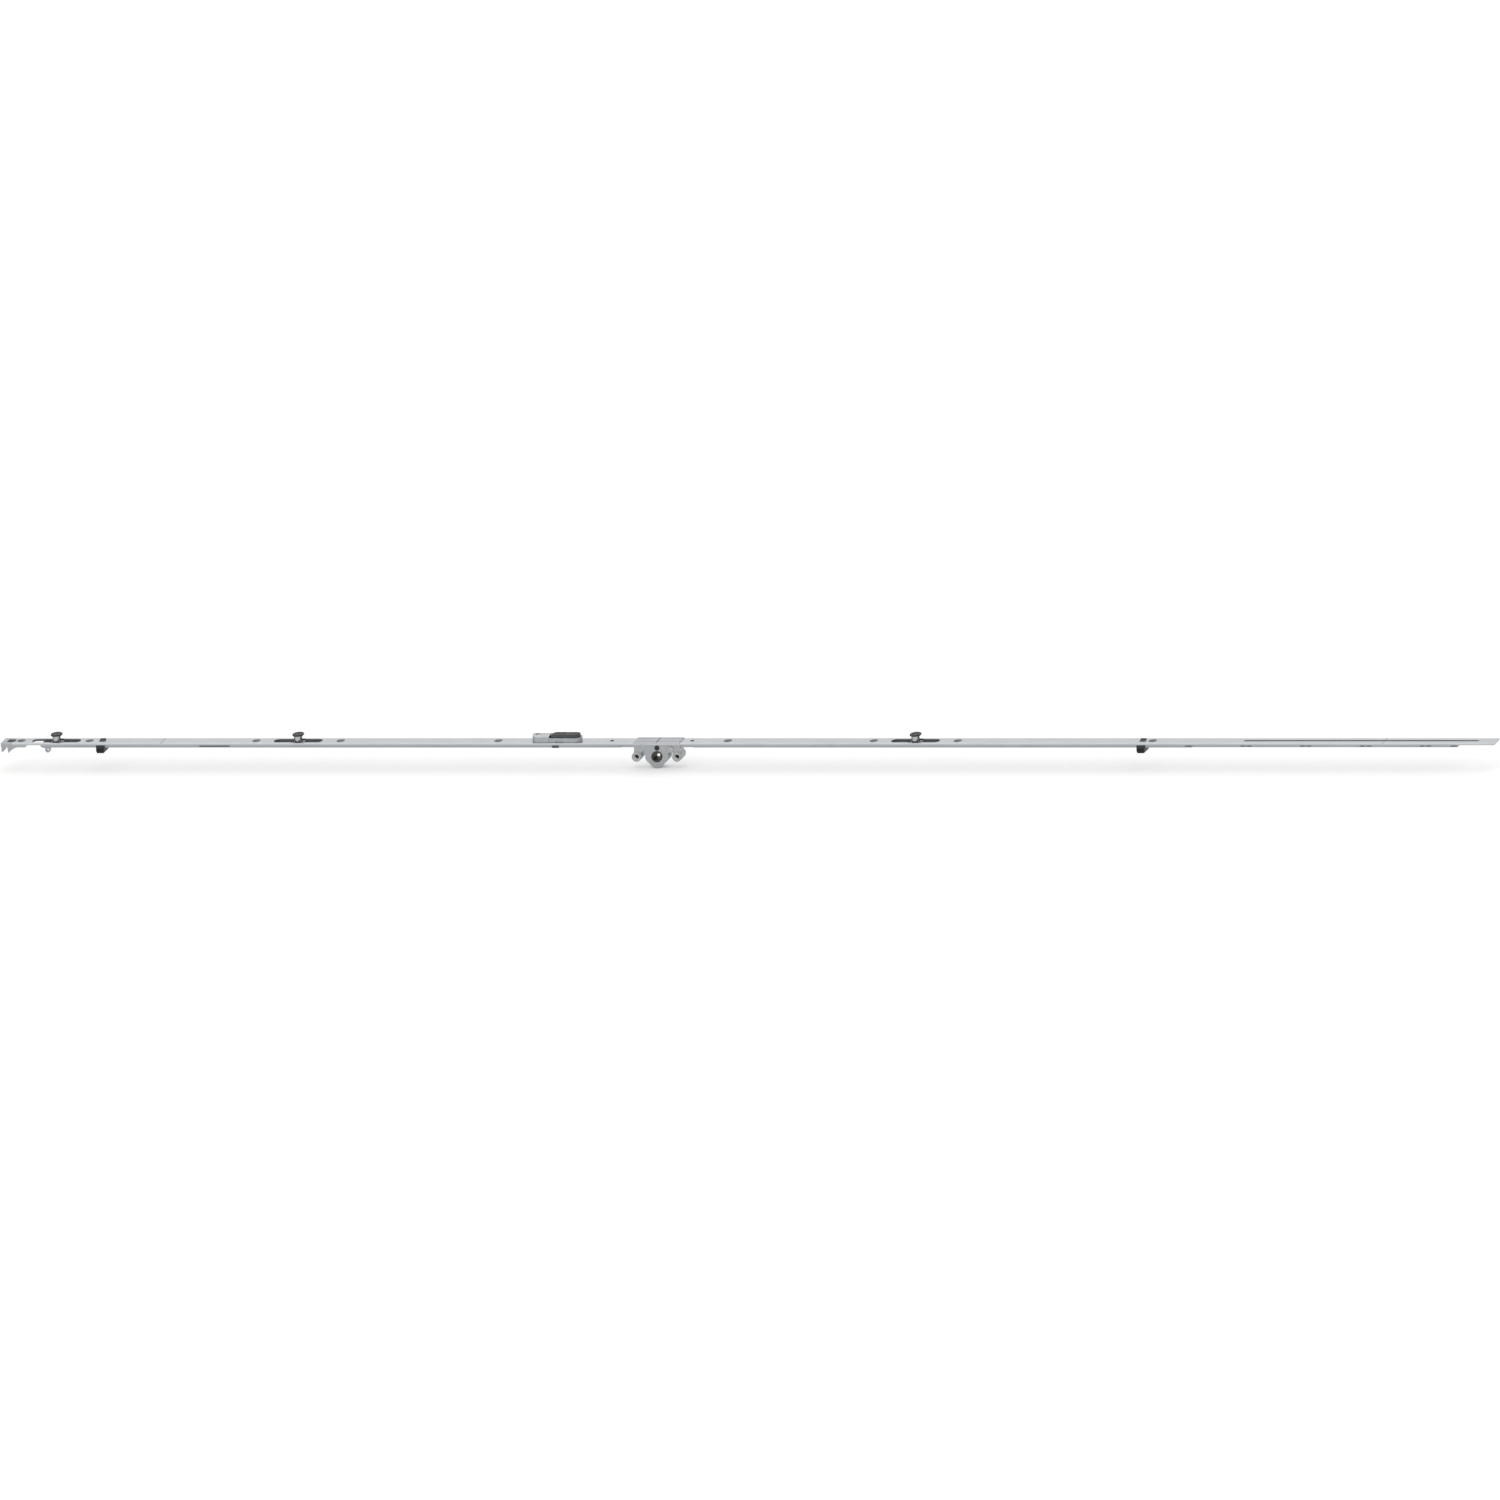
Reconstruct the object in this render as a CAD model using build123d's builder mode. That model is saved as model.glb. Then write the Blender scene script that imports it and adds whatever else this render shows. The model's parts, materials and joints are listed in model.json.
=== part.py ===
from build123d import *
from math import acos, cos, pi, radians, sin, sqrt, tan
import os

# Window espagnolette gearbox: a long faceplate with a sliding drive rod under it, a rack and pinion
# gearbox turned by the handle's square spindle, three rolling mushroom cams that ride on the rod,
# two support blocks, a coupling end and a sprung mishandling blocker.
# Millimetres. X runs along the bar, Y through its width with the front at minus Y, and Z is up.
# The origin is on the spindle axis, half way through the width.

# Faceplate
backset = 15.0
plate_w = 16.0
plate_t = 2.3
plate_left = -686.0
plate_right = 892.0
plate_top = backset
plate_low = plate_top - plate_t
screw_hole_d = 4.3
screw_head_d = 8.6
screw_head_angle = 100.0
screw_xs = (-678.4, -605.8, -428.3, -338.6, -170.8, 73.6, 228.8, 318.2, 525.7)
index_hole_d = 4.2
index_hole_xs = (-49.7, 35.6)
score_xs = (-527.5, 772.9)
score_w = 0.5
score_depth = 0.3
cut_slot_w = 3.2
cut_slot_left = 622.5
cut_slot_right = 873.0

# Drive rod
rod_w = 12.0
rod_narrow_w = 10.0
rod_t = 2.9
rod_gap = 0.1
rod_top = plate_low - rod_gap
rod_low = rod_top - rod_t
rod_left_end = -656.3
rod_right_end = 852.0
rod_step = 569.0
rod_slot_w = 6.6
rod_corner_r = 2.5
slot_margin = 2.4
side_clearance = 0.25

# Rack and follower
gear_teeth = 15
tooth_module = 1.2
pressure_angle = 20.0
backlash = 0.24
addendum = 0.8
dedendum = 1.0
gear_w = 5.0
hub_d = 11.9
hub_proud = 0.3
spindle_square = 7.0
square_clearance = 0.05
quarter_turn = 90.0
pitch_r = tooth_module * gear_teeth / 2
tip_r = pitch_r + addendum
root_r = pitch_r - dedendum
tooth_pitch = pi * tooth_module
stroke = pitch_r * radians(quarter_turn)
journal_gap = 0.05
rack_w = gear_w + 0.3
rack_gaps = 11
rack_half = rack_gaps * tooth_pitch / 2
rack_low = pitch_r - addendum
rack_root = pitch_r + dedendum

# Joint between the carriage and the two long rods
joint_x = 39.0
neck_w = 4.6
neck_len = 1.9
head_w = 7.6
head_len = 1.9
hook_root = 0.5
joint_gap = 0.05

# Gearbox
box_half = 24.5
box_t = 12.0
box_low = 4.0
lobe_low = -12.5
lobe_flat_half = 3.05
lobe_round = 6.0
lug_x = 21.5
lug_r = 5.2
lug_proud = 0.5
bush_d = 8.3
bush_proud = 0.2
thread_d = 4.2
notch_w = 4.4
notch_x = 14.75
notch_top = 5.6
notch_cut = 24.0
channel_gap = 0.2
gear_gap = 0.2
cavity_gap = 0.3
rim_chamfer = 0.4
lobe_overlap = 1.0
lobe_half = notch_x - notch_w / 2
lobe_shoulder = lobe_low + lobe_half - lobe_flat_half
tongue_x = 8.0
tongue_len = 3.0
tongue_t = 0.8
slip = 0.1
cover_t = 1.0
tab_t = 0.9
tab_len = 3.2
tab_x = 14.2
end_tab_x = box_half - tab_len / 2
tab_xs = (-end_tab_x, -tab_x, tab_x, end_tab_x)
groove_w = 0.4
groove_depth = 0.3
groove_ys = (-5.6, -0.8, 3.7)
shell_screw_x = box_half - 10.1
shell_screw_z = 7.6
shell_screw_head_d = 7.1
shell_screw_head_t = 0.9
shell_screw_d = 3.0
shell_screw_len = 2.2
plug_x = 0.0
plug_z = 9.2
plug_d = 5.2
plug_depth = 0.4
plug_proud = 0.5

# Mushroom cams
cam_xs = (-641.0, -383.8, 273.3)
cam_head_d = 12.0
cam_head_t = 1.6
cam_head_top = 7.6
cam_stem_d = 8.6
cam_pin_d = 5.0
cam_pin_head_d = 7.2
cam_pin_head_t = 0.7
cam_rivet_d = 7.4
cam_rivet_t = 0.8
cam_float = 0.1
cam_slot_w = 10.0
cam_slot_len = 51.5
cam_gate = 12.4

# Support blocks
block_xs = (-592.2, 515.2)
block_len = 8.8
block_drop = 10.9
block_wall = 1.0
block_chamfer = 2.4
peg_w = 5.8
window_gap = 0.1
peg_rise_front = -0.4
peg_rise_back = 1.8
pocket_depth = 1.4
pocket_h = 1.1
pocket_long = 4.2
pocket_short = 1.5
pocket_gap = 0.7

# Coupling end
end_left = -698.0
end_tongue_right = -672.0
end_tongue_w = 14.4
end_low = 10.2
end_tab_t = 1.7
end_tab_w = 10.0
end_tab_low = 4.7
recess_w = 9.0
recess_left = -692.5
recess_right = -684.0
recess_floor = 1.3
claw_t = 3.0
claw_profile = ((4.4, 0.0), (6.1, 8.2), (9.6, 4.8), (12.4, 3.0), (14.5, 0.0))
end_rivet_x = -683.0
end_rivet_y = 5.2
end_rivet_d = 2.5
end_rivet_head_d = 3.6
end_rivet_head_t = 0.6

# Rod end lug
lug_plate_x = -650.0
lug_plate_t = 3.0
lug_ring_r = 2.8
lug_hole_d = 2.4
lug_hole_drop = 9.4
lug_foot_len = 8.0
lug_foot_t = 0.5

# Serrated stretches of the rod
serration_pitch = 1.7
serration_depth = 0.8
left_serration_x = -487.0
left_serration_teeth = 19
right_groups = (620.8, 684.4, 748.1, 811.9)
group_teeth = 3
group_gap = 1.6
end_serration_teeth = 4
step_serration_teeth = 4

# Mishandling blocker
blocker_left = -134.0
blocker_right = -81.5
blocker_w = 13.0
blocker_nose_right = -115.0
blocker_top = 7.8
blocker_front_h = 5.6
blocker_wall = 1.6
blocker_wall_h = 4.6
blocker_floor = 1.2
blocker_floor_left = -98.5
pivot_x = -93.0
pivot_h = 3.1
pivot_d = 1.6
pivot_gap = 0.05
lever_gap = 0.3
lever_left = -113.5
lever_right = -83.5
lever_top = 7.0
lever_pad_t = 0.8
lever_low = 2.9
ear_r = 1.6
ear_w = 1.8
nose_left = -104.5
nose_right = -101.0
nose_w = 4.6
nose_low = -0.1
catch_x = -108.0
catch_len = 6.0
catch_w = 4.6
catch_h = 2.0
catch_foot_t = 0.7
blocker_slot_w = 6.0
blocker_slot_margin = 1.0
blocker_rivet_d = 2.6
blocker_rivet_head_d = 4.4
blocker_rivet_head_t = 0.7
blocker_rivet_xs = (-129.0, -86.6)
spring_stud_x = -96.6
spring_stud_d = 2.0
spring_stud_rise = 0.4
spring_t = 0.3
spring_w = 5.0
spring_foot_left = -98.2
spring_bend_x = -92.6
spring_tip_x = -84.2
spring_gap = 0.05

os.makedirs("parts", exist_ok=True)


def finish(piece, name):
    """Label a finished piece and write it as its own file."""
    piece.label = name
    export_step(piece, f"parts/{name}.step")


def block(x0, x1, y0, y1, z0, z1, mode=Mode.ADD):
    """A rectangular block between two corners, added to the open part."""
    with Locations(((x0 + x1) / 2, (y0 + y1) / 2, (z0 + z1) / 2)):
        Box(x1 - x0, y1 - y0, z1 - z0, mode=mode)


def post(x, y, z0, z1, diameter, mode=Mode.ADD):
    """An upright cylinder between two heights, added to the open part."""
    with Locations((x, y, (z0 + z1) / 2)):
        Cylinder(diameter / 2, z1 - z0, mode=mode)


def axle(x, z, y0, y1, diameter, mode=Mode.ADD):
    """A cylinder along the width between two depths, added to the open part."""
    with Locations(Location((x, (y0 + y1) / 2, z), (90, 0, 0))):
        Cylinder(diameter / 2, y1 - y0, mode=mode)


# Faceplate with every hole, slot, window and edge notch
tongue_y = box_t / 2 - tongue_t / 2
blocker_slot_left = catch_x - catch_len / 2 - stroke - blocker_slot_margin
blocker_slot_right = catch_x + catch_len / 2 + stroke + blocker_slot_margin
with BuildPart() as faceplate:
    block(plate_left, plate_right, -plate_w / 2, plate_w / 2, plate_low, plate_top)
    with BuildSketch(Plane.XY.offset(plate_top)):
        with Locations(*[(x, 0) for x in cam_xs]):
            SlotOverall(cam_slot_len, cam_slot_w)
            Rectangle(cam_gate, cam_gate)
        with Locations(*[(x, 0) for x in block_xs]):
            Rectangle(peg_w + 2 * window_gap, peg_w + 2 * window_gap)
        with Locations(*[(x, 0) for x in index_hole_xs]):
            Circle(index_hole_d / 2)
        with Locations(((cut_slot_left + cut_slot_right) / 2, 0)):
            SlotOverall(cut_slot_right - cut_slot_left, cut_slot_w)
        with Locations(((blocker_slot_left + blocker_slot_right) / 2, 0)):
            Rectangle(blocker_slot_right - blocker_slot_left, blocker_slot_w)
        with Locations(*[(x, y) for x in (-tongue_x, tongue_x) for y in (-tongue_y, tongue_y)]):
            Rectangle(tongue_len + 2 * slip, tongue_t + 2 * slip)
        with Locations(*[(x, y) for x in tab_xs for y in (-plate_w / 2, plate_w / 2)]):
            Rectangle(tab_len + 2 * slip, 2 * (tab_t + slip))
        with Locations(*[(x, 0) for x in blocker_rivet_xs]):
            Circle(blocker_rivet_d / 2)
        with Locations(*[(end_rivet_x, y) for y in (-end_rivet_y, end_rivet_y)]):
            Circle(end_rivet_d / 2)
        with Locations((recess_right - recess_w / 2, 0)):
            Circle(recess_w / 2 + slip)
    extrude(amount=-plate_t, mode=Mode.SUBTRACT)
    with Locations(*[(x, 0, plate_top) for x in screw_xs]):
        CounterSinkHole(
            radius=screw_hole_d / 2,
            counter_sink_radius=screw_head_d / 2,
            depth=plate_t,
            counter_sink_angle=screw_head_angle,
        )
    for x in score_xs:
        block(x - score_w / 2, x + score_w / 2, -plate_w / 2, plate_w / 2,
              plate_top - score_depth, plate_top, mode=Mode.SUBTRACT)
finish(faceplate.part, "faceplate")


# Drive rod: two long flat rods hooked to the rack carriage between them
def clearance_slot(x0, x1):
    """A slot in the rod that clears what stands between two places, over the whole stroke."""
    half = (x1 - x0) / 2 + stroke + slot_margin
    with Locations(((x0 + x1) / 2, 0)):
        SlotOverall(2 * half, rod_slot_w)


def hook_sketch(side, gap):
    """The T shaped hook of the carriage, seen from above, grown by a gap."""
    with Locations((side * (joint_x + neck_len / 2), 0)):
        Rectangle(neck_len + 2 * hook_root, neck_w + 2 * gap)
    with Locations((side * (joint_x + neck_len + head_len / 2), 0)):
        Rectangle(head_len + 2 * gap, head_w + 2 * gap)


def serration(x0, teeth, edge):
    """A row of teeth cut into one edge of the rod, from x0 towards plus X."""
    for n in range(teeth):
        x = x0 + n * serration_pitch
        Polygon(
            (x, edge * 1.01),
            (x + serration_pitch / 2, edge - serration_depth * (1 if edge > 0 else -1)),
            (x + serration_pitch, edge * 1.01),
            align=None,
        )


def cam_holes(xs):
    """Holes for the shanks of the cam pins."""
    with Locations(*[(x, 0) for x in xs]):
        Circle(cam_pin_d / 2)


with BuildPart() as rod_left:
    with BuildSketch(Plane.XY.offset(rod_low)):
        with Locations(((rod_left_end - joint_x) / 2, 0)):
            Rectangle(-joint_x - rod_left_end, rod_w)
    extrude(amount=rod_t)
    fillet(rod_left.edges().filter_by(Axis.Y).group_by(Axis.X)[0].sort_by(Axis.Z)[0], rod_corner_r)
    with BuildSketch(Plane.XY.offset(rod_low)):
        for screw_x in screw_xs[2:5]:
            clearance_slot(screw_x, screw_x)
        clearance_slot(screw_xs[1], block_xs[0] + peg_w / 2)
        hook_sketch(-1, joint_gap)
        cam_holes(cam_xs[:2])
    extrude(amount=rod_t, mode=Mode.SUBTRACT)
    with BuildSketch(Plane.XY.offset(rod_low)):
        for side in (-1, 1):
            serration(left_serration_x, left_serration_teeth, side * rod_w / 2)
    extrude(amount=rod_t, mode=Mode.SUBTRACT)
    block(catch_x - catch_len / 2, catch_x + catch_len / 2, -catch_w / 2, catch_w / 2,
          rod_top - catch_foot_t, rod_top, mode=Mode.SUBTRACT)
finish(rod_left.part, "rod_left")

narrow_y = rod_narrow_w / 2
with BuildPart() as rod_right:
    with BuildSketch(Plane.XY.offset(rod_low)):
        with Locations(((joint_x + rod_step) / 2, 0)):
            Rectangle(rod_step - joint_x, rod_w)
        with Locations(((rod_step + rod_right_end) / 2, 0)):
            Rectangle(rod_right_end - rod_step, rod_narrow_w)
    extrude(amount=rod_t)
    with BuildSketch(Plane.XY.offset(rod_low)):
        for screw_x in screw_xs[5:8]:
            clearance_slot(screw_x, screw_x)
        clearance_slot(block_xs[1] - peg_w / 2, screw_xs[8])
        hook_sketch(1, joint_gap)
        cam_holes(cam_xs[2:])
    extrude(amount=rod_t, mode=Mode.SUBTRACT)
    with BuildSketch(Plane.XY.offset(rod_low)):
        for side in (-1, 1):
            for group_x in right_groups:
                serration(group_x, group_teeth, side * narrow_y)
                serration(group_x + group_teeth * serration_pitch + group_gap, group_teeth, side * narrow_y)
            serration(rod_right_end - end_serration_teeth * serration_pitch, end_serration_teeth,
                      side * narrow_y)
            serration(rod_step - step_serration_teeth * serration_pitch, step_serration_teeth,
                      side * rod_w / 2)
    extrude(amount=rod_t, mode=Mode.SUBTRACT)
finish(rod_right.part, "rod_right")

# Rack carriage: narrow strip that passes through the gearbox, with rack teeth below
gap_at_pitch = tooth_pitch / 4 + backlash / 4
flank = tan(radians(pressure_angle))
with BuildPart() as rack_carriage:
    with BuildSketch(Plane.XY.offset(rod_low)):
        Rectangle(2 * joint_x - 2 * joint_gap, rod_narrow_w)
        for side in (-1, 1):
            hook_sketch(side, 0)
    extrude(amount=rod_t)
    block(-rack_half, rack_half, -rack_w / 2, rack_w / 2, rack_low, rod_low)
    with BuildSketch(Plane.XZ) as rack_profile:
        with Locations(*[((n - rack_gaps // 2) * tooth_pitch, 0) for n in range(rack_gaps)]):
            Polygon(
                (-gap_at_pitch - addendum * flank, rack_low),
                (-gap_at_pitch + dedendum * flank, rack_root),
                (gap_at_pitch - dedendum * flank, rack_root),
                (gap_at_pitch + addendum * flank, rack_low),
                align=None,
            )
    extrude(amount=rack_w / 2, both=True, mode=Mode.SUBTRACT)
finish(rack_carriage.part, "rack_carriage")


# Follower: involute pinion with hubs that turn in the shells and a square hole for the spindle
def involute_point(radius, tooth_centre, side):
    """A point of an involute flank at a radius, for a tooth centred at an angle in radians."""
    base_r = pitch_r * cos(radians(pressure_angle))
    roll_pitch = sqrt((pitch_r / base_r) ** 2 - 1) - acos(base_r / pitch_r)
    roll = sqrt((radius / base_r) ** 2 - 1) - acos(base_r / radius)
    half = (tooth_pitch - backlash) / 4 / pitch_r + roll_pitch - roll
    angle = tooth_centre + side * half
    return (radius * cos(angle), radius * sin(angle))


base_r = pitch_r * cos(radians(pressure_angle))
flank_radii = [base_r + 0.001 + (tip_r - base_r - 0.001) * n / 4 for n in range(5)]
with BuildPart() as follower_gear:
    with BuildSketch(Plane.XZ):
        Circle(root_r)
        for tooth in range(gear_teeth):
            centre = pi / 2 + 2 * pi * tooth / gear_teeth
            near = [involute_point(r, centre, -1) for r in flank_radii]
            far = [involute_point(r, centre, 1) for r in reversed(flank_radii)]
            foot = root_r * 0.97 / base_r
            start = (near[0][0] * foot, near[0][1] * foot)
            end = (far[-1][0] * foot, far[-1][1] * foot)
            with BuildLine():
                Polyline(start, *near, *far, end, close=True)
            make_face()
    extrude(amount=gear_w / 2, both=True)
    axle(0, 0, -box_t / 2 - hub_proud, box_t / 2 + hub_proud, hub_d)
    with BuildSketch(Plane.XZ):
        Rectangle(spindle_square + 2 * square_clearance, spindle_square + 2 * square_clearance)
    extrude(amount=box_t, both=True, mode=Mode.SUBTRACT)
    hub_rims = follower_gear.edges().filter_by(GeomType.CIRCLE).group_by(Axis.Y)
    chamfer(hub_rims[0] + hub_rims[-1], hub_proud * 0.8)
finish(follower_gear.part, "follower_gear")


# Gearbox shells: two castings that meet at the middle of the width
def shell_outline():
    """The outline of the gearbox, seen from the front."""
    with Locations((0, (box_low + plate_low) / 2)):
        Rectangle(2 * box_half, plate_low - box_low)
    lobe = Polygon(
        (-lobe_half, box_low + lobe_overlap),
        (-lobe_half, lobe_shoulder),
        (-lobe_flat_half, lobe_low),
        (lobe_flat_half, lobe_low),
        (lobe_half, lobe_shoulder),
        (lobe_half, box_low + lobe_overlap),
        align=None,
    )
    fillet(lobe.vertices().sort_by(Axis.Y)[:4], lobe_round)
    for side in (-1, 1):
        with Locations((side * (box_half + notch_x - notch_w / 2) / 2, (box_low + lobe_overlap) / 2)):
            Rectangle(box_half - notch_x + notch_w / 2, box_low + lobe_overlap)
    with Locations(*[(side * notch_x, notch_top - notch_cut / 2) for side in (-1, 1)]):
        SlotOverall(notch_cut, notch_w, rotation=90, mode=Mode.SUBTRACT)


def shell_half():
    """One half of the gearbox, in front of the middle of the width."""
    outer = box_t / 2
    channel_y = rod_narrow_w / 2 + channel_gap
    with BuildPart() as half:
        with BuildSketch(Plane.XZ):
            shell_outline()
        extrude(amount=outer)
        rim = half.faces().sort_by(Axis.Y)[0].outer_wire().edges()
        chamfer(rim.filter_by_position(Axis.Z, lobe_low, lobe_shoulder), rim_chamfer)
        for lug in (-lug_x, lug_x):
            axle(lug, 0, -outer - lug_proud, 0, 2 * lug_r)
        for tongue in (-tongue_x, tongue_x):
            block(tongue - tongue_len / 2, tongue + tongue_len / 2, -outer, -outer + tongue_t,
                  plate_low, plate_top)
        block(-box_half, box_half, -channel_y, 0, rod_low - channel_gap, plate_low, mode=Mode.SUBTRACT)
        block(-box_half, box_half, -rack_w / 2 - channel_gap, 0, rack_low - channel_gap, rod_low,
              mode=Mode.SUBTRACT)
        axle(0, 0, -gear_w / 2 - gear_gap, 0, 2 * (tip_r + cavity_gap), mode=Mode.SUBTRACT)
        axle(0, 0, -outer, 0, hub_d + 2 * journal_gap, mode=Mode.SUBTRACT)
        for lug in (-lug_x, lug_x):
            axle(lug, 0, -outer - lug_proud, 0, bush_d, mode=Mode.SUBTRACT)
    return half.part


face_y = -box_t / 2
with BuildPart() as gearbox_front_shell:
    add(shell_half())
    axle(shell_screw_x, shell_screw_z, face_y, face_y + shell_screw_len, shell_screw_d, mode=Mode.SUBTRACT)
    axle(plug_x, plug_z, face_y, face_y + plug_depth, plug_d, mode=Mode.SUBTRACT)
finish(gearbox_front_shell.part, "gearbox_front_shell")

with BuildPart() as gearbox_rear_shell:
    add(mirror(shell_half(), about=Plane.XZ))
finish(gearbox_rear_shell.part, "gearbox_rear_shell")

for side, name in ((-1, "handle_bush_left"), (1, "handle_bush_right")):
    with BuildPart() as handle_bush:
        half_len = box_t / 2 + lug_proud + bush_proud
        axle(side * lug_x, 0, -half_len, half_len, bush_d)
        axle(side * lug_x, 0, -half_len, half_len, thread_d, mode=Mode.SUBTRACT)
        mouths = handle_bush.edges().filter_by(GeomType.CIRCLE).group_by(Axis.Y)
        chamfer(mouths[0] + mouths[-1], bush_proud * 0.9)
    finish(handle_bush.part, name)

with BuildPart() as shell_screw:
    axle(shell_screw_x, shell_screw_z, face_y, face_y + shell_screw_len, shell_screw_d)
    axle(shell_screw_x, shell_screw_z, face_y - shell_screw_head_t, face_y, shell_screw_head_d)
    chamfer(shell_screw.edges().filter_by(GeomType.CIRCLE).group_by(Axis.Y)[0], shell_screw_head_t * 0.5)
    with BuildSketch(Plane.XZ.offset(-face_y + shell_screw_head_t)):
        with Locations((shell_screw_x, shell_screw_z)):
            RegularPolygon(radius=shell_screw_d * 0.45, side_count=6)
    extrude(amount=-shell_screw_head_t * 0.7, mode=Mode.SUBTRACT)
finish(shell_screw.part, "shell_screw")

with BuildPart() as midstop_plug:
    axle(plug_x, plug_z, face_y - plug_proud, face_y + plug_depth, plug_d)
    chamfer(midstop_plug.edges().filter_by(GeomType.CIRCLE).group_by(Axis.Y)[0], plug_proud * 0.6)
finish(midstop_plug.part, "midstop_plug")

# Cover that hides the staked tongues, with four tabs down each edge of the faceplate
with BuildPart() as gearbox_cover:
    block(-box_half, box_half, -plate_w / 2, plate_w / 2, plate_top, plate_top + cover_t)
    for x in tab_xs:
        for y0 in (-plate_w / 2, plate_w / 2 - tab_t):
            block(x - tab_len / 2, x + tab_len / 2, y0, y0 + tab_t, plate_low, plate_top)
    groove_low = plate_top + cover_t - groove_depth
    for y in groove_ys:
        block(-box_half, box_half, y - groove_w / 2, y + groove_w / 2, groove_low, plate_top + cover_t,
              mode=Mode.SUBTRACT)
    block(-groove_w / 2, groove_w / 2, -plate_w / 2, plate_w / 2, groove_low, plate_top + cover_t,
          mode=Mode.SUBTRACT)
finish(gearbox_cover.part, "gearbox_cover")

# Mushroom cams: each turns on a shoulder pin riveted into the rod
cam_top = plate_top + cam_head_top
cam_low = rod_top + cam_float
pin_seat = cam_top - cam_pin_head_t - 0.2
for n, x in enumerate(cam_xs, start=1):
    with BuildPart() as mushroom_cam:
        post(x, 0, cam_low, cam_top, cam_stem_d)
        post(x, 0, cam_top - cam_head_t, cam_top, cam_head_d)
        head_rims = mushroom_cam.edges().filter_by(GeomType.CIRCLE).group_by(SortBy.RADIUS)[-1]
        chamfer(head_rims, cam_head_t * 0.2)
        post(x, 0, cam_low, cam_top, cam_pin_d + 2 * journal_gap, mode=Mode.SUBTRACT)
        post(x, 0, pin_seat - cam_float, cam_top, cam_pin_head_d + 4 * journal_gap, mode=Mode.SUBTRACT)
    finish(mushroom_cam.part, f"mushroom_cam_{n}")
    with BuildPart() as cam_pin:
        post(x, 0, rod_low - cam_rivet_t, pin_seat, cam_pin_d)
        post(x, 0, pin_seat, pin_seat + cam_pin_head_t, cam_pin_head_d)
        post(x, 0, rod_low - cam_rivet_t, rod_low, cam_rivet_d)
        rivet_rims = cam_pin.edges().filter_by(GeomType.CIRCLE).group_by(Axis.Z)
        chamfer(rivet_rims[0], cam_rivet_t * 0.5)
    finish(cam_pin.part, f"cam_pin_{n}")

# Support blocks: each hugs the rod from below and snaps into a window of the faceplate
block_low = plate_top - block_drop
block_y = rod_w / 2 + side_clearance + block_wall
for name, x in (("support_block_left", block_xs[0]), ("support_block_right", block_xs[1])):
    left = x - block_len / 2
    right = x + block_len / 2
    with BuildPart() as support_block:
        with BuildSketch(Plane.XZ):
            with BuildLine():
                Polyline(
                    (left, plate_low),
                    (left, block_low + block_chamfer),
                    (left + block_chamfer / 2, block_low),
                    (right - block_chamfer / 4, block_low),
                    (right, block_low + block_chamfer / 2),
                    (right, plate_low),
                    close=True,
                )
            make_face()
        extrude(amount=block_y, both=True)
        block(left, right, -rod_w / 2 - side_clearance, rod_w / 2 + side_clearance,
              rod_low - side_clearance, plate_low, mode=Mode.SUBTRACT)
        with BuildSketch(Plane.YZ.offset(x - peg_w / 2)):
            with BuildLine():
                Polyline(
                    (-peg_w / 2, rod_low - side_clearance),
                    (peg_w / 2, rod_low - side_clearance),
                    (peg_w / 2, plate_top + peg_rise_back),
                    (-peg_w / 2, plate_top + peg_rise_front),
                    close=True,
                )
            make_face()
        extrude(amount=peg_w)
        pocket_x = left + block_chamfer / 2
        for row in range(2):
            z = rod_low - side_clearance - pocket_gap - row * (pocket_h + pocket_gap)
            block(pocket_x, pocket_x + pocket_long, -block_y, -block_y + pocket_depth, z - pocket_h, z,
                  mode=Mode.SUBTRACT)
            block(pocket_x + pocket_long + pocket_gap, pocket_x + pocket_long + pocket_gap + pocket_short,
                  -block_y, -block_y + pocket_depth, z - pocket_h, z, mode=Mode.SUBTRACT)
    finish(support_block.part, name)

# Coupling end: a casting with a pocket for the corner drive, a bent tab and a claw below
with BuildPart() as coupling_end:
    block(end_left, plate_left, -plate_w / 2, plate_w / 2, plate_low, plate_top)
    block(end_left, end_tongue_right, -end_tongue_w / 2, end_tongue_w / 2, end_low, plate_low)
    chamfer(coupling_end.edges().filter_by(Axis.Z).group_by(Axis.X)[0], rim_chamfer)
    block(end_left, end_left + end_tab_t, -end_tab_w / 2, end_tab_w / 2, end_tab_low, end_low)
    with BuildSketch(Plane.XZ):
        with BuildLine():
            Polyline(*[(end_left + along, end_low - drop) for along, drop in claw_profile], close=True)
        make_face()
    extrude(amount=claw_t / 2, both=True)
    recess_z = end_low + recess_floor
    block(recess_left, recess_right - recess_w / 2, -recess_w / 2, recess_w / 2, recess_z, plate_top,
          mode=Mode.SUBTRACT)
    post(recess_right - recess_w / 2, 0, recess_z, plate_top, recess_w, mode=Mode.SUBTRACT)
    post(screw_xs[0], 0, end_low, plate_low, screw_hole_d, mode=Mode.SUBTRACT)
    for y in (-end_rivet_y, end_rivet_y):
        post(end_rivet_x, y, end_low, plate_low, end_rivet_d, mode=Mode.SUBTRACT)
finish(coupling_end.part, "coupling_end")

with BuildPart() as coupling_rivets:
    for y in (-end_rivet_y, end_rivet_y):
        post(end_rivet_x, y, end_low, plate_top, end_rivet_d)
        post(end_rivet_x, y, end_low - end_rivet_head_t, end_low, end_rivet_head_d)
finish(coupling_rivets.part, "coupling_rivets")

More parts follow.
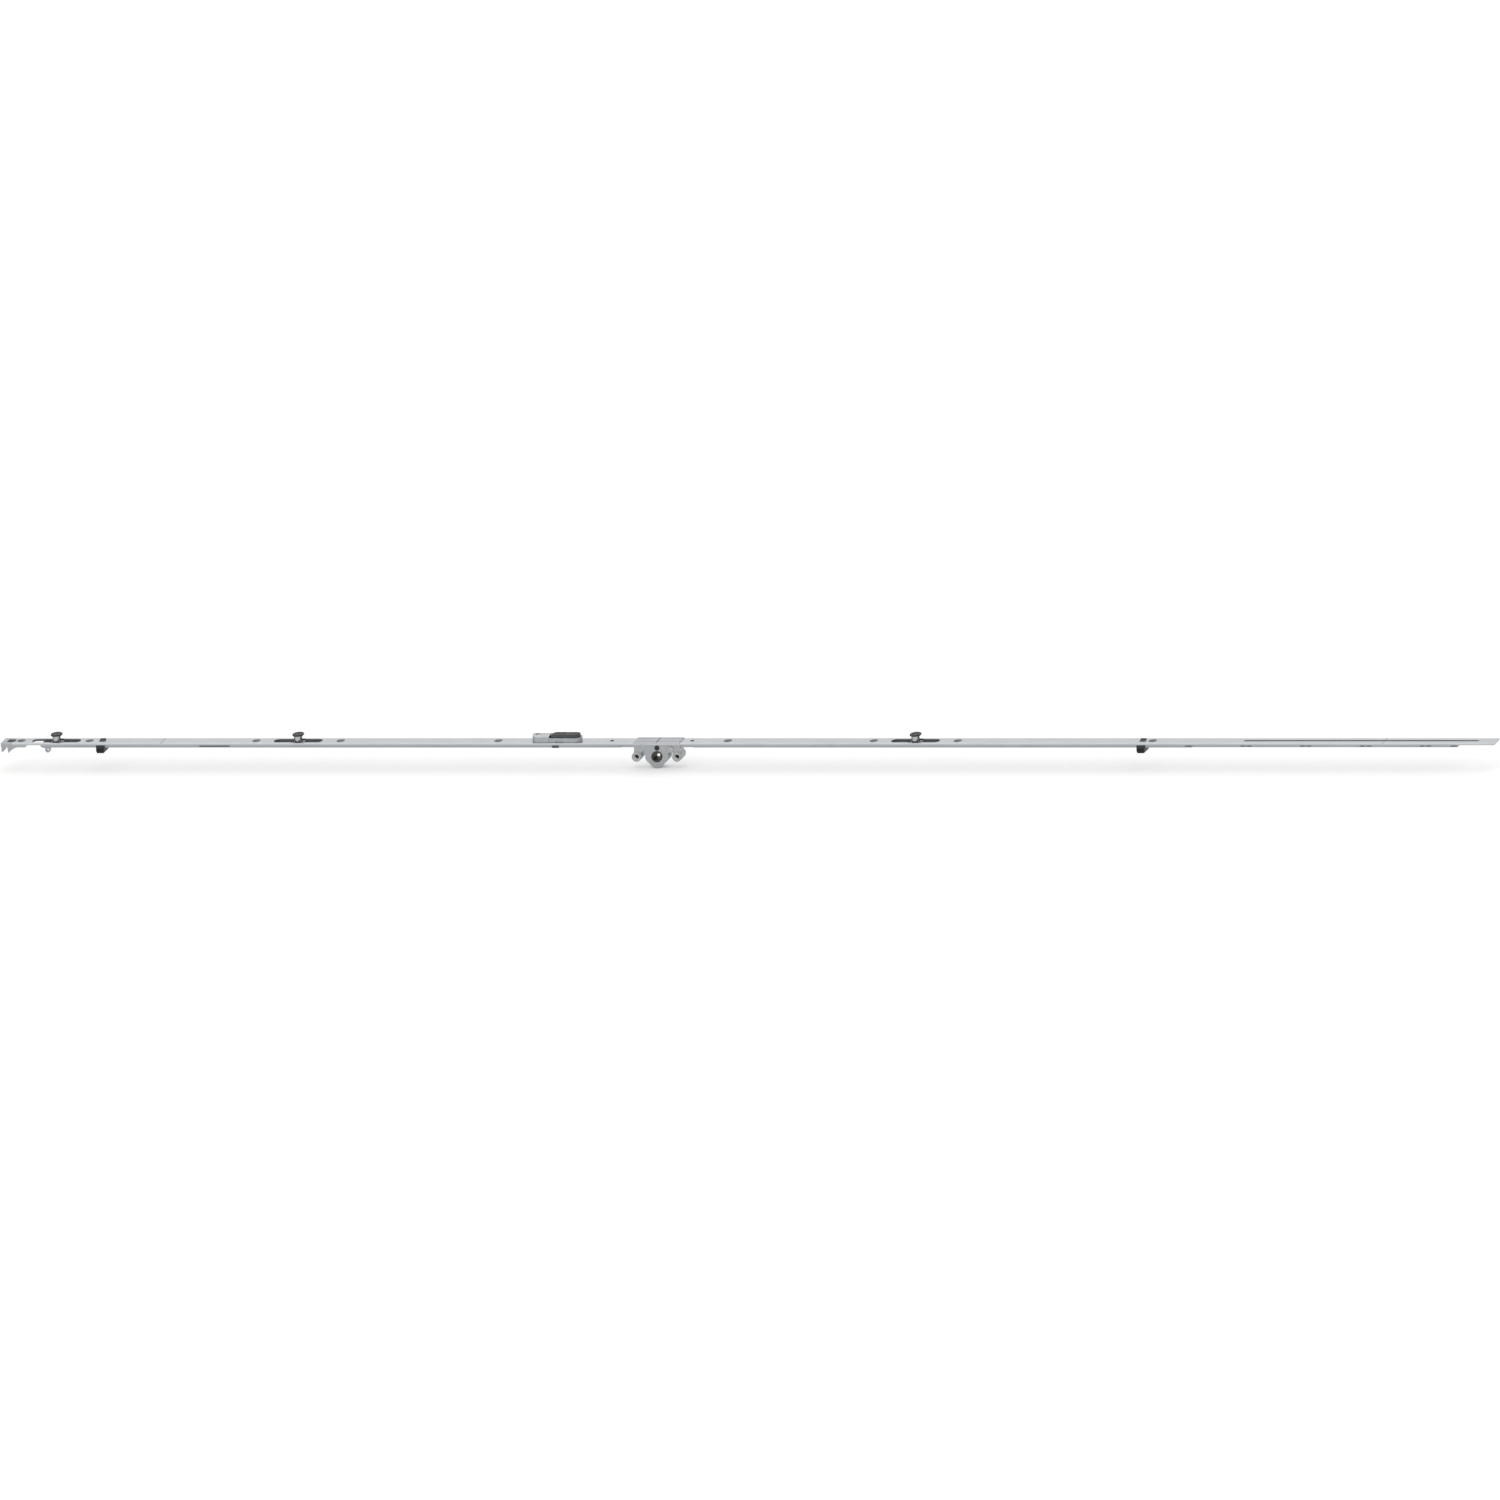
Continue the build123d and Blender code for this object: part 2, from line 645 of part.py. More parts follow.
# Ring lug under the end of the left rod
with BuildPart() as rod_end_lug:
    ring_z = plate_top - lug_hole_drop
    lug_top = rod_low
    block(lug_plate_x - lug_ring_r, lug_plate_x + lug_ring_r, -lug_plate_t / 2, lug_plate_t / 2,
          ring_z, lug_top)
    axle(lug_plate_x, ring_z, -lug_plate_t / 2, lug_plate_t / 2, 2 * lug_ring_r)
    block(lug_plate_x - lug_foot_len / 2, lug_plate_x + lug_foot_len / 2, -rod_w / 2, rod_w / 2,
          lug_top - lug_foot_t, lug_top)
    axle(lug_plate_x, ring_z, -lug_plate_t / 2, lug_plate_t / 2, lug_hole_d, mode=Mode.SUBTRACT)
finish(rod_end_lug.part, "rod_end_lug")

# Mishandling blocker on the faceplate
pivot_z = plate_top + pivot_h
blocker_y = blocker_w / 2
inner_y = blocker_y - blocker_wall
floor_z = plate_top + blocker_floor
rivet_seats = (plate_top + blocker_front_h - blocker_rivet_head_t, floor_z - blocker_rivet_head_t)
stud_top = floor_z + spring_t + spring_stud_rise
pocket_round_x = blocker_right - blocker_y
with BuildPart() as blocker_base:
    with BuildSketch(Plane.XY.offset(plate_top)):
        with Locations(((blocker_left + blocker_right) / 2, 0)):
            SlotOverall(blocker_right - blocker_left, blocker_w)
    extrude(amount=blocker_top)
    block(blocker_nose_right, blocker_right, -blocker_y, blocker_y, plate_top + blocker_wall_h,
          plate_top + blocker_top, mode=Mode.SUBTRACT)
    with BuildSketch(Plane.XY.offset(floor_z)):
        with Locations(((blocker_nose_right + pocket_round_x) / 2, 0)):
            Rectangle(pocket_round_x - blocker_nose_right, 2 * inner_y)
        with Locations((pocket_round_x, 0)):
            Circle(inner_y)
    extrude(amount=blocker_top, mode=Mode.SUBTRACT)
    block(blocker_nose_right, blocker_floor_left, -inner_y, inner_y, plate_top, plate_top + blocker_top,
          mode=Mode.SUBTRACT)
    with BuildSketch(Plane.YZ.offset(blocker_left)):
        with BuildLine():
            crown = ThreePointArc(
                (-blocker_y, plate_top + blocker_front_h),
                (0, plate_top + blocker_top - 0.4),
                (blocker_y, plate_top + blocker_front_h),
            )
            Polyline(
                crown @ 1,
                (blocker_y, plate_top + blocker_top + 1),
                (-blocker_y, plate_top + blocker_top + 1),
                crown @ 0,
            )
        make_face()
    extrude(amount=blocker_nose_right - blocker_left, mode=Mode.SUBTRACT)
    axle(pivot_x, pivot_z, -blocker_y, blocker_y, pivot_d, mode=Mode.SUBTRACT)
    for x in blocker_rivet_xs:
        post(x, 0, plate_top, plate_top + blocker_top, blocker_rivet_d, mode=Mode.SUBTRACT)
    for x, seat in zip(blocker_rivet_xs, rivet_seats):
        post(x, 0, seat, plate_top + blocker_top, blocker_rivet_head_d, mode=Mode.SUBTRACT)
    post(spring_stud_x, 0, plate_top + blocker_floor, stud_top, spring_stud_d)
finish(blocker_base.part, "blocker_base")

with BuildPart() as blocker_rivets:
    for x, seat in zip(blocker_rivet_xs, rivet_seats):
        post(x, 0, plate_low, seat, blocker_rivet_d)
        post(x, 0, seat, seat + blocker_rivet_head_t, blocker_rivet_head_d)
finish(blocker_rivets.part, "blocker_rivets")

with BuildPart() as blocker_pin:
    axle(pivot_x, pivot_z, -blocker_y, blocker_y, pivot_d)
finish(blocker_pin.part, "blocker_pin")

lever_y = inner_y - lever_gap
with BuildPart() as blocker_lever:
    with BuildSketch(Plane.XZ):
        with BuildLine():
            Polyline(
                (lever_left, plate_top + lever_low),
                (nose_left, plate_top + lever_low),
                (nose_left, plate_top + nose_low),
                (nose_right, plate_top + nose_low),
                (nose_right, plate_top + lever_low),
                (lever_right, plate_top + lever_low),
                (lever_right, plate_top + lever_top),
                (lever_left, plate_top + lever_top),
                close=True,
            )
        make_face()
    extrude(amount=lever_y, both=True)
    for y in (-lever_y, nose_w / 2):
        block(nose_left, nose_right, y, y + lever_y - nose_w / 2, plate_top + nose_low,
              plate_top + lever_low, mode=Mode.SUBTRACT)
    fillet(blocker_lever.edges().filter_by(Axis.Z).group_by(Axis.X)[-1], lever_y * 0.97)
    for y in (-lever_y, lever_y - ear_w):
        axle(pivot_x, pivot_z, y, y + ear_w, 2 * ear_r)
    axle(pivot_x, pivot_z, -lever_y, lever_y, pivot_d + 2 * pivot_gap, mode=Mode.SUBTRACT)
finish(blocker_lever.part, "blocker_lever")

pad_z = plate_top + lever_top
with BuildPart() as lever_pad:
    with BuildSketch(Plane.XY.offset(pad_z)):
        with Locations(((lever_left + lever_right) / 2, 0)):
            SlotOverall(lever_right - lever_left, 2 * lever_y)
    extrude(amount=lever_pad_t)
    chamfer(lever_pad.faces().sort_by(Axis.Z)[-1].outer_wire().edges(), lever_pad_t * 0.5)
finish(lever_pad.part, "lever_pad")

spring_tip_z = plate_top + lever_low - spring_gap
with BuildPart() as blocker_spring:
    with BuildSketch(Plane.XZ):
        with BuildLine():
            Polyline(
                (spring_foot_left, floor_z),
                (spring_bend_x, floor_z),
                (spring_tip_x, spring_tip_z - spring_t),
                (spring_tip_x, spring_tip_z),
                (spring_bend_x, floor_z + spring_t),
                (spring_foot_left, floor_z + spring_t),
                close=True,
            )
        make_face()
    extrude(amount=spring_w / 2, both=True)
    post(spring_stud_x, 0, floor_z, floor_z + spring_t, spring_stud_d, mode=Mode.SUBTRACT)
finish(blocker_spring.part, "blocker_spring")

# Catch on the rod that the blocker's nose stops
with BuildPart() as rod_catch:
    block(catch_x - catch_len / 2, catch_x + catch_len / 2, -catch_w / 2, catch_w / 2,
          rod_top - catch_foot_t, rod_top + catch_h)
    chamfer(rod_catch.edges().filter_by(Axis.Y).group_by(Axis.Z)[-1], catch_foot_t * 0.5)
finish(rod_catch.part, "rod_catch")
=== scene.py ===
"""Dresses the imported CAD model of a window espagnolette: faceplate, drive rod, gearbox, cams and blocker."""

import json
from math import cos, pi, radians, sin, tan

import bmesh
import bpy
from bpy.props import FloatProperty, FloatVectorProperty, IntProperty, PointerProperty
from mathutils import Matrix, Vector
from mathutils.geometry import intersect_point_line

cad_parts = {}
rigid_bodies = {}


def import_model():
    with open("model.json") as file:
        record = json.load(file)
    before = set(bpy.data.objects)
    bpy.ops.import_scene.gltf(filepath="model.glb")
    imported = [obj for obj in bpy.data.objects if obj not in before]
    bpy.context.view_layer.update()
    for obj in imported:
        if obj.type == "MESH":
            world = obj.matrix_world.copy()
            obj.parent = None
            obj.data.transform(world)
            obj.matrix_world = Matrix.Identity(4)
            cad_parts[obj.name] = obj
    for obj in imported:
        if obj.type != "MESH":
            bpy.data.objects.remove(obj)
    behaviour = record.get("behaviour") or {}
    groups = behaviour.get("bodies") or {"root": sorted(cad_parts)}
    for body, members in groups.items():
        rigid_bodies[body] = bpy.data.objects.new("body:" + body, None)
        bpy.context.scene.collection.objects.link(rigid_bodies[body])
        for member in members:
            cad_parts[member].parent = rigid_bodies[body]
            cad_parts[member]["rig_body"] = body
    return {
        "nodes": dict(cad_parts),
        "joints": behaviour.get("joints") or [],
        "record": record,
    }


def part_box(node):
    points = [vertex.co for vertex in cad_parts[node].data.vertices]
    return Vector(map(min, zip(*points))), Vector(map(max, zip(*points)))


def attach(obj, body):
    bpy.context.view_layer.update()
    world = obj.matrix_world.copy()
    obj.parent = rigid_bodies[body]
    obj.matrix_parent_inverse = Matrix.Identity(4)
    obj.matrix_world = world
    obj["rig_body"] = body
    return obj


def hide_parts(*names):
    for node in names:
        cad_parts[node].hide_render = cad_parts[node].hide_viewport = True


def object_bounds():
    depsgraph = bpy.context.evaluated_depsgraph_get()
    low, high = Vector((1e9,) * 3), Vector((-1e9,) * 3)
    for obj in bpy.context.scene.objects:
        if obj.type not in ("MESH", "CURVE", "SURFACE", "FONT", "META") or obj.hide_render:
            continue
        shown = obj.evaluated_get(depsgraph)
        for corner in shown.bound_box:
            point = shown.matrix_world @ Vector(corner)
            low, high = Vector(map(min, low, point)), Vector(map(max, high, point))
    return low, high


bl_info = {
    "name": "Window espagnolette",
    "version": (1, 0, 0),
    "blender": (4, 5, 0),
    "location": "3D View > Sidebar > Espagnolette",
    "description": "Builds the detailed pieces and finishes of a window espagnolette gearbox",
    "category": "Object",
}

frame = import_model()
cad_low, cad_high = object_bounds()

MM = 0.001
SLOTS = {part["node"]: part["material_slot"] for part in frame["record"]["subparts"]}
JOINTS = {joint["name"]: joint for joint in frame["joints"]}

# Places along the bar, in millimetres from the spindle axis
SCREW_XS = (-678.4, -605.8, -428.3, -338.6, -170.8, 73.6, 228.8, 318.2, 525.7)
INDEX_HOLE_XS = (-49.7, 35.6)
SCORE_XS = (-527.5, 772.9)
CUT_SLOT = (622.5, 873.0)
TAB_XS = (-22.9, -14.2, 14.2, 22.9)
TONGUE_XS = (-8.0, 8.0)
TONGUE_YS = (-5.6, 5.6)
SINGLE_TEETH = ((-487.0, 19), (562.2, 4))
RIGHT_TEETH = (620.8, 684.4, 748.1, 811.9)
JOINT_X = 39.0
COVER_GROOVE_YS = (-5.6, -0.8, 3.7)
CAMS = (1, 2, 3)
BLOCKS = ("support_block_left", "support_block_right")

# Cuts in the faceplate, in millimetres
TAB_HALF = 1.7
TONGUE_HALF_X = 1.6
TONGUE_HALF_Y = 0.5
BLOCKER_RIVET_BORE = 1.3
BLOCKER_RIVET_INSET = 2.2
COUPLING_RIVET_BORE = 1.25
END_SLOT_OVERCUT = 6.0
END_SLOT_DEPTH = 2.0
END_SLOT_WIDTH = 9.2

# Cuts in the rods, in millimetres: the reach of a block's peg, a pin's bore, and the T shaped joint
PEG_REACH = 2.9
PIN_BORE = 2.5
NECK_REACHES = (-1.0, 2.4)
NECK_HALF = 2.35
HEAD_REACHES = (1.85, 3.85)
HEAD_HALF = 3.85
GROUP_TEETH = 3
LAST_TEETH = 4
SIDE_OVERCUT = 1.2

# The gearbox's cover and bushes, in millimetres. The groove lip and the margin bound the faces in the cover's grooves
# that get painted shade.
COVER_GROOVE_HALF = 0.7
COVER_GROOVE_DEPTH = 0.3
COVER_GROOVE_LIP = 0.15
COVER_MARGIN = 0.25
BUSH_BORE = 2.1
BUSH_CHAMFER = 0.18

# The cams and their pins, in millimetres. A cam's outer faces lie beyond a share of its bore. The tail's radii are
# shares of the rivet's, with heights above its foot, and the dimple's radii go with depths under the pin's top.
CAM_STEM = 4.3
CAM_BORE = 2.55
OUTSIDE_SHARE = 1.1
CAM_FOOT_CHAMFER = 0.3
CAM_RECESS = 3.8
CAM_RECESS_DEPTH = 1.0
CAM_RECESS_CHAMFER = 0.2
CAM_HEAD_HEIGHT = 1.6
PIN_RIVET = 3.7
PIN_SHANK = 2.5
PIN_PLATE_Z = 9.7
PIN_PLATE_CHAMFER = 0.2
PIN_SEAT_Z = 21.7
PIN_HEAD = 3.6
PIN_TAIL = ((0.55, 0.05), (0.85, 0.3))
PIN_DIMPLE = ((1.1, 0.0), (0.9, 0.25), (0.0, 0.35))

# Faces nearer than this to a piece's outside, in metres, or less steep than this, don't count as cut, and get neither
# the bare cut steel colour nor the painted shade that goes with it
SKIN = 0.02 * MM
CUT_SLOPE = 0.5

# The photograph: pixels per millimetre along the bar and of depth, where the spindle's X and the faceplate's
# top front edge lie, and the middle of its 1500 pixel square
PHOTO_SCALE = 0.9395
PHOTO_DEPTH = 0.3322
PHOTO_SPINDLE_X = 656.2
PHOTO_TOP_EDGE = 743.32
PHOTO_MIDDLE = 750.0

# Turns, in degrees, of the two lamps about X and Z, and the floor's gap in millimetres and glow
KEY_TURN = (42.0, -35.0)
TOP_TURN = (-28.0, 20.0)
FLOOR_GAP = 0.05
FLOOR_GLOW = 0.16

# Meshes: the angles at which an edge is shaded sharp, is rounded, or lies in a flat face, and the distances, in
# metres, within which points merge
ROUND_STEPS = 48
SHARP_ANGLE = radians(32.0)
ROUND_ANGLE = radians(50.0)
FLAT_ANGLE = radians(0.5)
WELD = 1e-6
TURNED_WELD = 1e-7
SLIVER = 5e-6
LARGE_FACE_WEIGHT = 100

# Finishes: a wave texture's period at scale 1, the spacing of turning marks in millimetres, the least share of the
# dark colour, the part of a pattern that drives the roughness, and ranges of roughness
WAVE_PERIOD = 2 * pi / 20
RING_SPACING = 0.25
LEAST_DARK = 0.12
PATTERN_LOW = 0.3
PATTERN_HIGH = 0.7
RELIEF_STRENGTH = 0.6
NOISE_ROUGHNESS = 0.55
CLOUD_DETAIL = 2.0
BLACKED_ROUGHNESS = (0.3, 0.42)
BRIGHT_ROUGHNESS = (0.2, 0.34)
STEM_ROUGHNESS = (0.16, 0.26)
SHEARED_ROUGHNESS = (0.5, 0.7)


def linear(colour):
    """A hex sRGB colour as linear red, green and blue."""
    parts = [int(colour[i : i + 2], 16) / 255 for i in (1, 3, 5)]
    return tuple(c / 12.92 if c <= 0.04045 else ((c + 0.055) / 1.055) ** 2.4 for c in parts)


def length(title, text, size):
    """A length property with its default in millimetres."""
    return FloatProperty(name=title, description=text, default=size * MM, unit="LENGTH", precision=5)


def tint(title, text, colour):
    """A colour property with its default as a hex sRGB colour."""
    return FloatVectorProperty(
        name=title, description=text, default=linear(colour), subtype="COLOR", size=3, min=0.0, max=1.0
    )


class StripSizes(bpy.types.PropertyGroup):
    """Sizes of the holes and edges of the faceplate."""

    edge_radius: length("Edge radius", "Radius of the rolled long edges", 0.5)
    rim: length("Hole rim", "Width of the break on punched rims", 0.12)
    screw_hole: length("Screw hole", "Diameter of the screw holes", 4.3)
    screw_head: length("Countersink", "Diameter of the countersinks", 8.6)
    head_angle: FloatProperty(
        name="Countersink angle", description="Full angle of the countersinks", default=radians(100.0), subtype="ANGLE"
    )
    slot_length: length("Cam slot length", "Length of the slots that the cams travel in", 51.5)
    slot_width: length("Cam slot width", "Width of the slots that the cams travel in", 10.0)
    gate: length("Cam gate", "Side of the square gate that a cam head passes through", 12.4)
    window: length("Block window", "Side of the windows that the support blocks snap into", 6.0)
    index_hole: length("Index hole", "Diameter of the two small round holes", 4.2)
    cut_slot: length("Cutting slot", "Width of the long slot at the end that is cut to size", 3.2)
    score_width: length("Score width", "Width of the cutting marks across the strip", 0.5)
    score_depth: length("Score depth", "Depth of the cutting marks across the strip", 0.3)
    blocker_slot: length("Blocker slot", "Width of the slot under the blocker", 6.0)


class RodSizes(bpy.types.PropertyGroup):
    """Sizes of the two long drive rods."""

    narrow: length("Narrow width", "Width of the rod beyond its step", 10.0)
    slot_width: length("Slot width", "Width of the slots that clear the screws", 6.6)
    slot_margin: length("Slot margin", "Clear length beyond the stroke at each end of a slot", 2.4)
    corner_radius: length("End radius", "Radius under the left end", 2.5)
    tooth_pitch: length("Serration pitch", "Distance between the teeth in the edges", 1.7)
    tooth_depth: length("Serration depth", "Depth of the teeth in the edges", 0.8)
    tooth_crest: length("Serration crest", "Flat width left on each tooth", 0.45)
    group_gap: length("Group gap", "Gap between two groups of three teeth", 1.6)
    rim: length("Rim", "Width of the break on the rod's edges", 0.15)


class TurnedSizes(bpy.types.PropertyGroup):
    """Sizes of the turned pins, cams and threaded bushes."""

    thread_pitch: length("Thread pitch", "Pitch of the M5 thread in the bushes", 0.8)
    thread_depth: length("Thread depth", "Depth of the M5 thread in the bushes", 0.4)
    head_round: length("Cam rounding", "Radius on the rim of a cam's head", 0.45)
    dome: length("Rivet dome", "Height of the dome on a rivet's head", 0.25)
    steps: IntProperty(name="Steps", description="Steps round a turned piece", default=96, min=24)


class BlockerSizes(bpy.types.PropertyGroup):
    """Sizes of the relief on the blocker and of the strap that holds its catch."""

    relief_left: length("Relief left", "Where the relief in the casting's foot starts", -107.9)
    relief_length: length("Relief length", "Length of that relief", 8.8)
    relief_height: length("Relief height", "Height of that relief", 2.3)
    relief_depth: length("Relief depth", "Depth of that relief", 0.8)
    relief_round: length("Relief rounding", "Radius of that relief's upper corners", 1.4)
    grooves: IntProperty(name="Grooves", description="Number of grip grooves", default=9, min=1)
    groove_left: length("Groove left", "Where the first grip groove lies", -110.2)
    groove_pitch: length("Groove pitch", "Distance between the grip grooves", 1.4)
    groove_width: length("Groove width", "Width of a grip groove", 0.55)
    groove_depth: length("Groove depth", "Depth of the relief on the pad", 0.45)
    groove_margin: length("Groove margin", "Width left beside a grip groove", 1.3)
    arrow_tip: length("Arrow tip", "Where the arrow's tip lies", -96.9)
    arrow_length: length("Arrow length", "Length and width of the arrow", 4.0)
    oval_left: length("Oval left", "Where the thumb oval starts", -91.4)
    oval_length: length("Oval length", "Length of the thumb oval", 4.4)
    oval_width: length("Oval width", "Width of the thumb oval", 3.0)
    mark: length("Tail mark", "Where the short groove behind the oval lies", -85.8)
    mark_length: length("Tail mark length", "Length of that groove", 5.4)
    joint: length("Joint line", "Where the upright line between the casting's nose and its walls lies", -114.9)
    joint_width: length("Joint line width", "Width of that line", 0.8)
    joint_depth: length("Joint line depth", "Depth of that line", 0.5)
    strap_overhang: length("Strap overhang", "Length of the strap beyond the catch", 0.5)
    strap_thickness: length("Strap thickness", "Thickness of the strap", 0.3)
    strap_rim: length("Strap rim", "Width of the break on the strap's edges", 0.06)


class FinishColours(bpy.types.PropertyGroup):
    """Colours of the finishes, each with a darker one for its streaks and grain."""

    strip: tint("Plated strip", "Silver zinc plating of the faceplate", "#C3C6C9")
    strip_dark: tint("Plated strip, dark", "Streaks in that plating", "#A4A8AC")
    rod: tint("Drive steel", "Zinc plating of the drive rod", "#A9ADB1")
    rod_dark: tint("Drive steel, dark", "Streaks in the rod's plating", "#898D92")
    # The sheared colours are darker partly because a punch bares the steel and partly as painted shade in holes, slots
    # and grooves
    shear: tint("Sheared edge", "Walls of punched holes and slots", "#808387")
    shear_and_shade_dark: tint("Sheared edge, dark", "Tear lines in those walls", "#5E6165")
    cast: tint("Cast zinc", "Tumbled die casting", "#B3B6B8")
    cast_dark: tint("Cast zinc, dark", "Grain of the castings", "#8E9194")
    bright: tint("Bright steel", "Turned and plated steel", "#B9BABA")
    bright_dark: tint("Bright steel, dark", "Turning marks", "#8F9090")
    cam: tint("Blacked steel", "Hardened and blacked cams", "#3B3C3E")
    cam_dark: tint("Blacked steel, dark", "Cloudy oxide on the cams", "#242527")
    sintered: tint("Sintered steel", "Oil filled sintered follower", "#5A5854")
    sintered_dark: tint("Sintered steel, dark", "Pores of the follower", "#34322F")
    lever: tint("Lever zinc", "Dark passivated casting of the lever", "#5E6063")
    lever_dark: tint("Lever zinc, dark", "Grain of the lever", "#3F4143")
    black: tint("Black plastic", "Moulded acetal", "#1D1E20")
    black_dark: tint("Black plastic, dark", "Spark eroded grain of the acetal", "#141416")
    pad: tint("Grey plastic", "Moulded pad of the lever", "#3A3C3F")
    pad_dark: tint("Grey plastic, dark", "Grain of the pad", "#2B2D2F")


class StageSettings(bpy.types.PropertyGroup):
    """The floor, the light and the camera's distance."""

    floor_size: FloatProperty(name="Floor size", description="Side of the square floor", default=40.0, unit="LENGTH")
    floor: tint("Floor", "Matt paint of the floor", "#F4F4F3")
    fill: FloatProperty(name="Fill", description="Strength of the even light from all round", default=0.75)
    key: FloatProperty(name="Key", description="Strength of the soft light from the front left", default=0.45)
    top: FloatProperty(name="Top", description="Strength of the soft light from above and behind", default=0.55)
    softness: FloatProperty(
        name="Softness",
        description="Width of the lights as seen from the object",
        default=radians(60.0),
        subtype="ANGLE",
    )
    distance: FloatProperty(name="Distance", description="Camera's distance", default=4.0, unit="LENGTH")


def add_node(tree, kind, inputs=None, **settings):
    """Add a node, set its properties, and set its inputs or link them to an output."""
    node = tree.nodes.new(kind)
    for key, value in settings.items():
        setattr(node, key, value)
    for key, value in (inputs or {}).items():
        if isinstance(value, bpy.types.NodeSocket):
            tree.links.new(value, node.inputs[key])
        else:
            node.inputs[key].default_value = value
    return node


def start_finish(name, metallic, **sockets):
    """A new material with a shader, and the object coordinates that its patterns read."""
    material = bpy.data.materials.new(name)
    material.use_nodes = True
    tree = material.node_tree
    tree.nodes.clear()
    shader = add_node(tree, "ShaderNodeBsdfPrincipled", {"Metallic": metallic, **sockets})
    add_node(tree, "ShaderNodeOutputMaterial", {"Surface": shader.outputs["BSDF"]})
    place = add_node(tree, "ShaderNodeTexCoord").outputs["Object"]
    return material, tree, shader, place


def grained(tree, shader, pattern, cloud, pale, dark, roughness, relief):
    """Drive colour, roughness and relief from a fine pattern, and colour from a slow cloud too."""
    amount = add_node(tree, "ShaderNodeMath", {0: pattern, 1: cloud, 2: LEAST_DARK}, operation="MULTIPLY_ADD")
    colour = add_node(
        tree,
        "ShaderNodeMix",
        {"Factor": amount.outputs[0], 6: (*pale, 1.0), 7: (*dark, 1.0)},
        data_type="RGBA",
    )
    tree.links.new(colour.outputs[2], shader.inputs["Base Color"])
    spans = {"From Min": PATTERN_LOW, "From Max": PATTERN_HIGH, "To Min": roughness[0], "To Max": roughness[1]}
    rough = add_node(tree, "ShaderNodeMapRange", {"Value": pattern, **spans})
    tree.links.new(rough.outputs["Result"], shader.inputs["Roughness"])
    bump = add_node(
        tree, "ShaderNodeBump", {"Height": pattern, "Strength": RELIEF_STRENGTH, "Distance": relief * MM}
    )
    tree.links.new(bump.outputs["Normal"], shader.inputs["Normal"])


def noise(tree, place, sizes, detail=3.0):
    """A noise whose blobs have the given sizes in millimetres along X, Y and Z."""
    scale = [1 / (size * MM) for size in sizes]
    spread = add_node(tree, "ShaderNodeMapping", {"Vector": place, "Scale": scale})
    made = add_node(
        tree,
        "ShaderNodeTexNoise",
        {"Vector": spread.outputs["Vector"], "Scale": 1.0, "Detail": detail, "Roughness": NOISE_ROUGHNESS},
    )
    return made.outputs["Fac"]


def noise_finish(name, looks, grain, cloud, relief, detail=3.0, metallic=1.0, **sockets):
    """A material with a fine grain and slow clouds of the given sizes in millimetres. Its looks are a pale and a
    dark colour and a range of roughness."""
    material, tree, shader, place = start_finish(name, metallic, **sockets)
    fine = noise(tree, place, grain, detail)
    slow = noise(tree, place, cloud, CLOUD_DETAIL)
    grained(tree, shader, fine, slow, *looks, relief)
    return material


def rolled_steel(name, *looks):
    """Cold rolled and zinc plated strip: long faint streaks along the bar, and cloudy plating.
    Real streaks are 0.1 mm wide. They are drawn 0.7 mm wide, so that they show."""
    return noise_finish(name, looks, grain=(45.0, 0.7, 0.7), cloud=(22.0, 9.0, 9.0), relief=0.01)


def cast_zinc(name, *looks):
    """Pressure die cast and tumbled zinc: a fine pebbled skin and soft cloudy patches."""
    return noise_finish(name, looks, grain=(0.5, 0.5, 0.5), cloud=(6.0, 6.0, 6.0), relief=0.03, detail=4.0)


def turned_steel(name, pale, dark, roughness, centre, axis):
    """Turned and plated steel: rings of tool marks round the piece's own axis, 0.25 mm apart."""
    material, tree, shader, place = start_finish(name, 1.0)
    scale = WAVE_PERIOD / (RING_SPACING * MM)
    centred = add_node(
        tree,
        "ShaderNodeMapping",
        {"Vector": place, "Location": [-c * scale for c in centre], "Scale": (scale,) * 3},
    )
    rings = add_node(
        tree,
        "ShaderNodeTexWave",
        {"Vector": centred.outputs["Vector"], "Scale": 1.0, "Distortion": 0.8, "Detail": 2.0},
        wave_type="RINGS",
        rings_direction=axis,
    )
    cloud = noise(tree, place, (3.0, 3.0, 3.0), CLOUD_DETAIL)
    grained(tree, shader, rings.outputs["Fac"], cloud, pale, dark, roughness, 0.008)
    return material


def sintered_steel(name, pale, dark, roughness):
    """Pressed and sintered steel powder: matt, with open pores about 0.3 mm across that hold oil."""
    material, tree, shader, place = start_finish(name, 1.0)
    scale = add_node(tree, "ShaderNodeMapping", {"Vector": place, "Scale": (1 / (0.3 * MM),) * 3})
    pores = add_node(tree, "ShaderNodeTexVoronoi", {"Vector": scale.outputs["Vector"], "Scale": 1.0})
    cloud = noise(tree, place, (4.0, 4.0, 4.0), CLOUD_DETAIL)
    grained(tree, shader, pores.outputs["Distance"], cloud, pale, dark, roughness, 0.03)
    return material


def sheared_and_shaded_steel(name, *looks):
    """Punched edges and grooves: dull and darker, partly as torn plating and partly as painted shade, with fine lines
    through the sheet.
    """
    return noise_finish(name, looks, grain=(0.5, 0.5, 6.0), cloud=(8.0, 8.0, 8.0), relief=0.02)


def moulded_plastic(name, *looks):
    """Injection moulded acetal: a dull spark eroded skin with a grain of about 0.4 mm."""
    return noise_finish(
        name, looks, grain=(0.4, 0.4, 0.4), cloud=(7.0, 7.0, 7.0), relief=0.03, metallic=0.0, IOR=1.48
    )


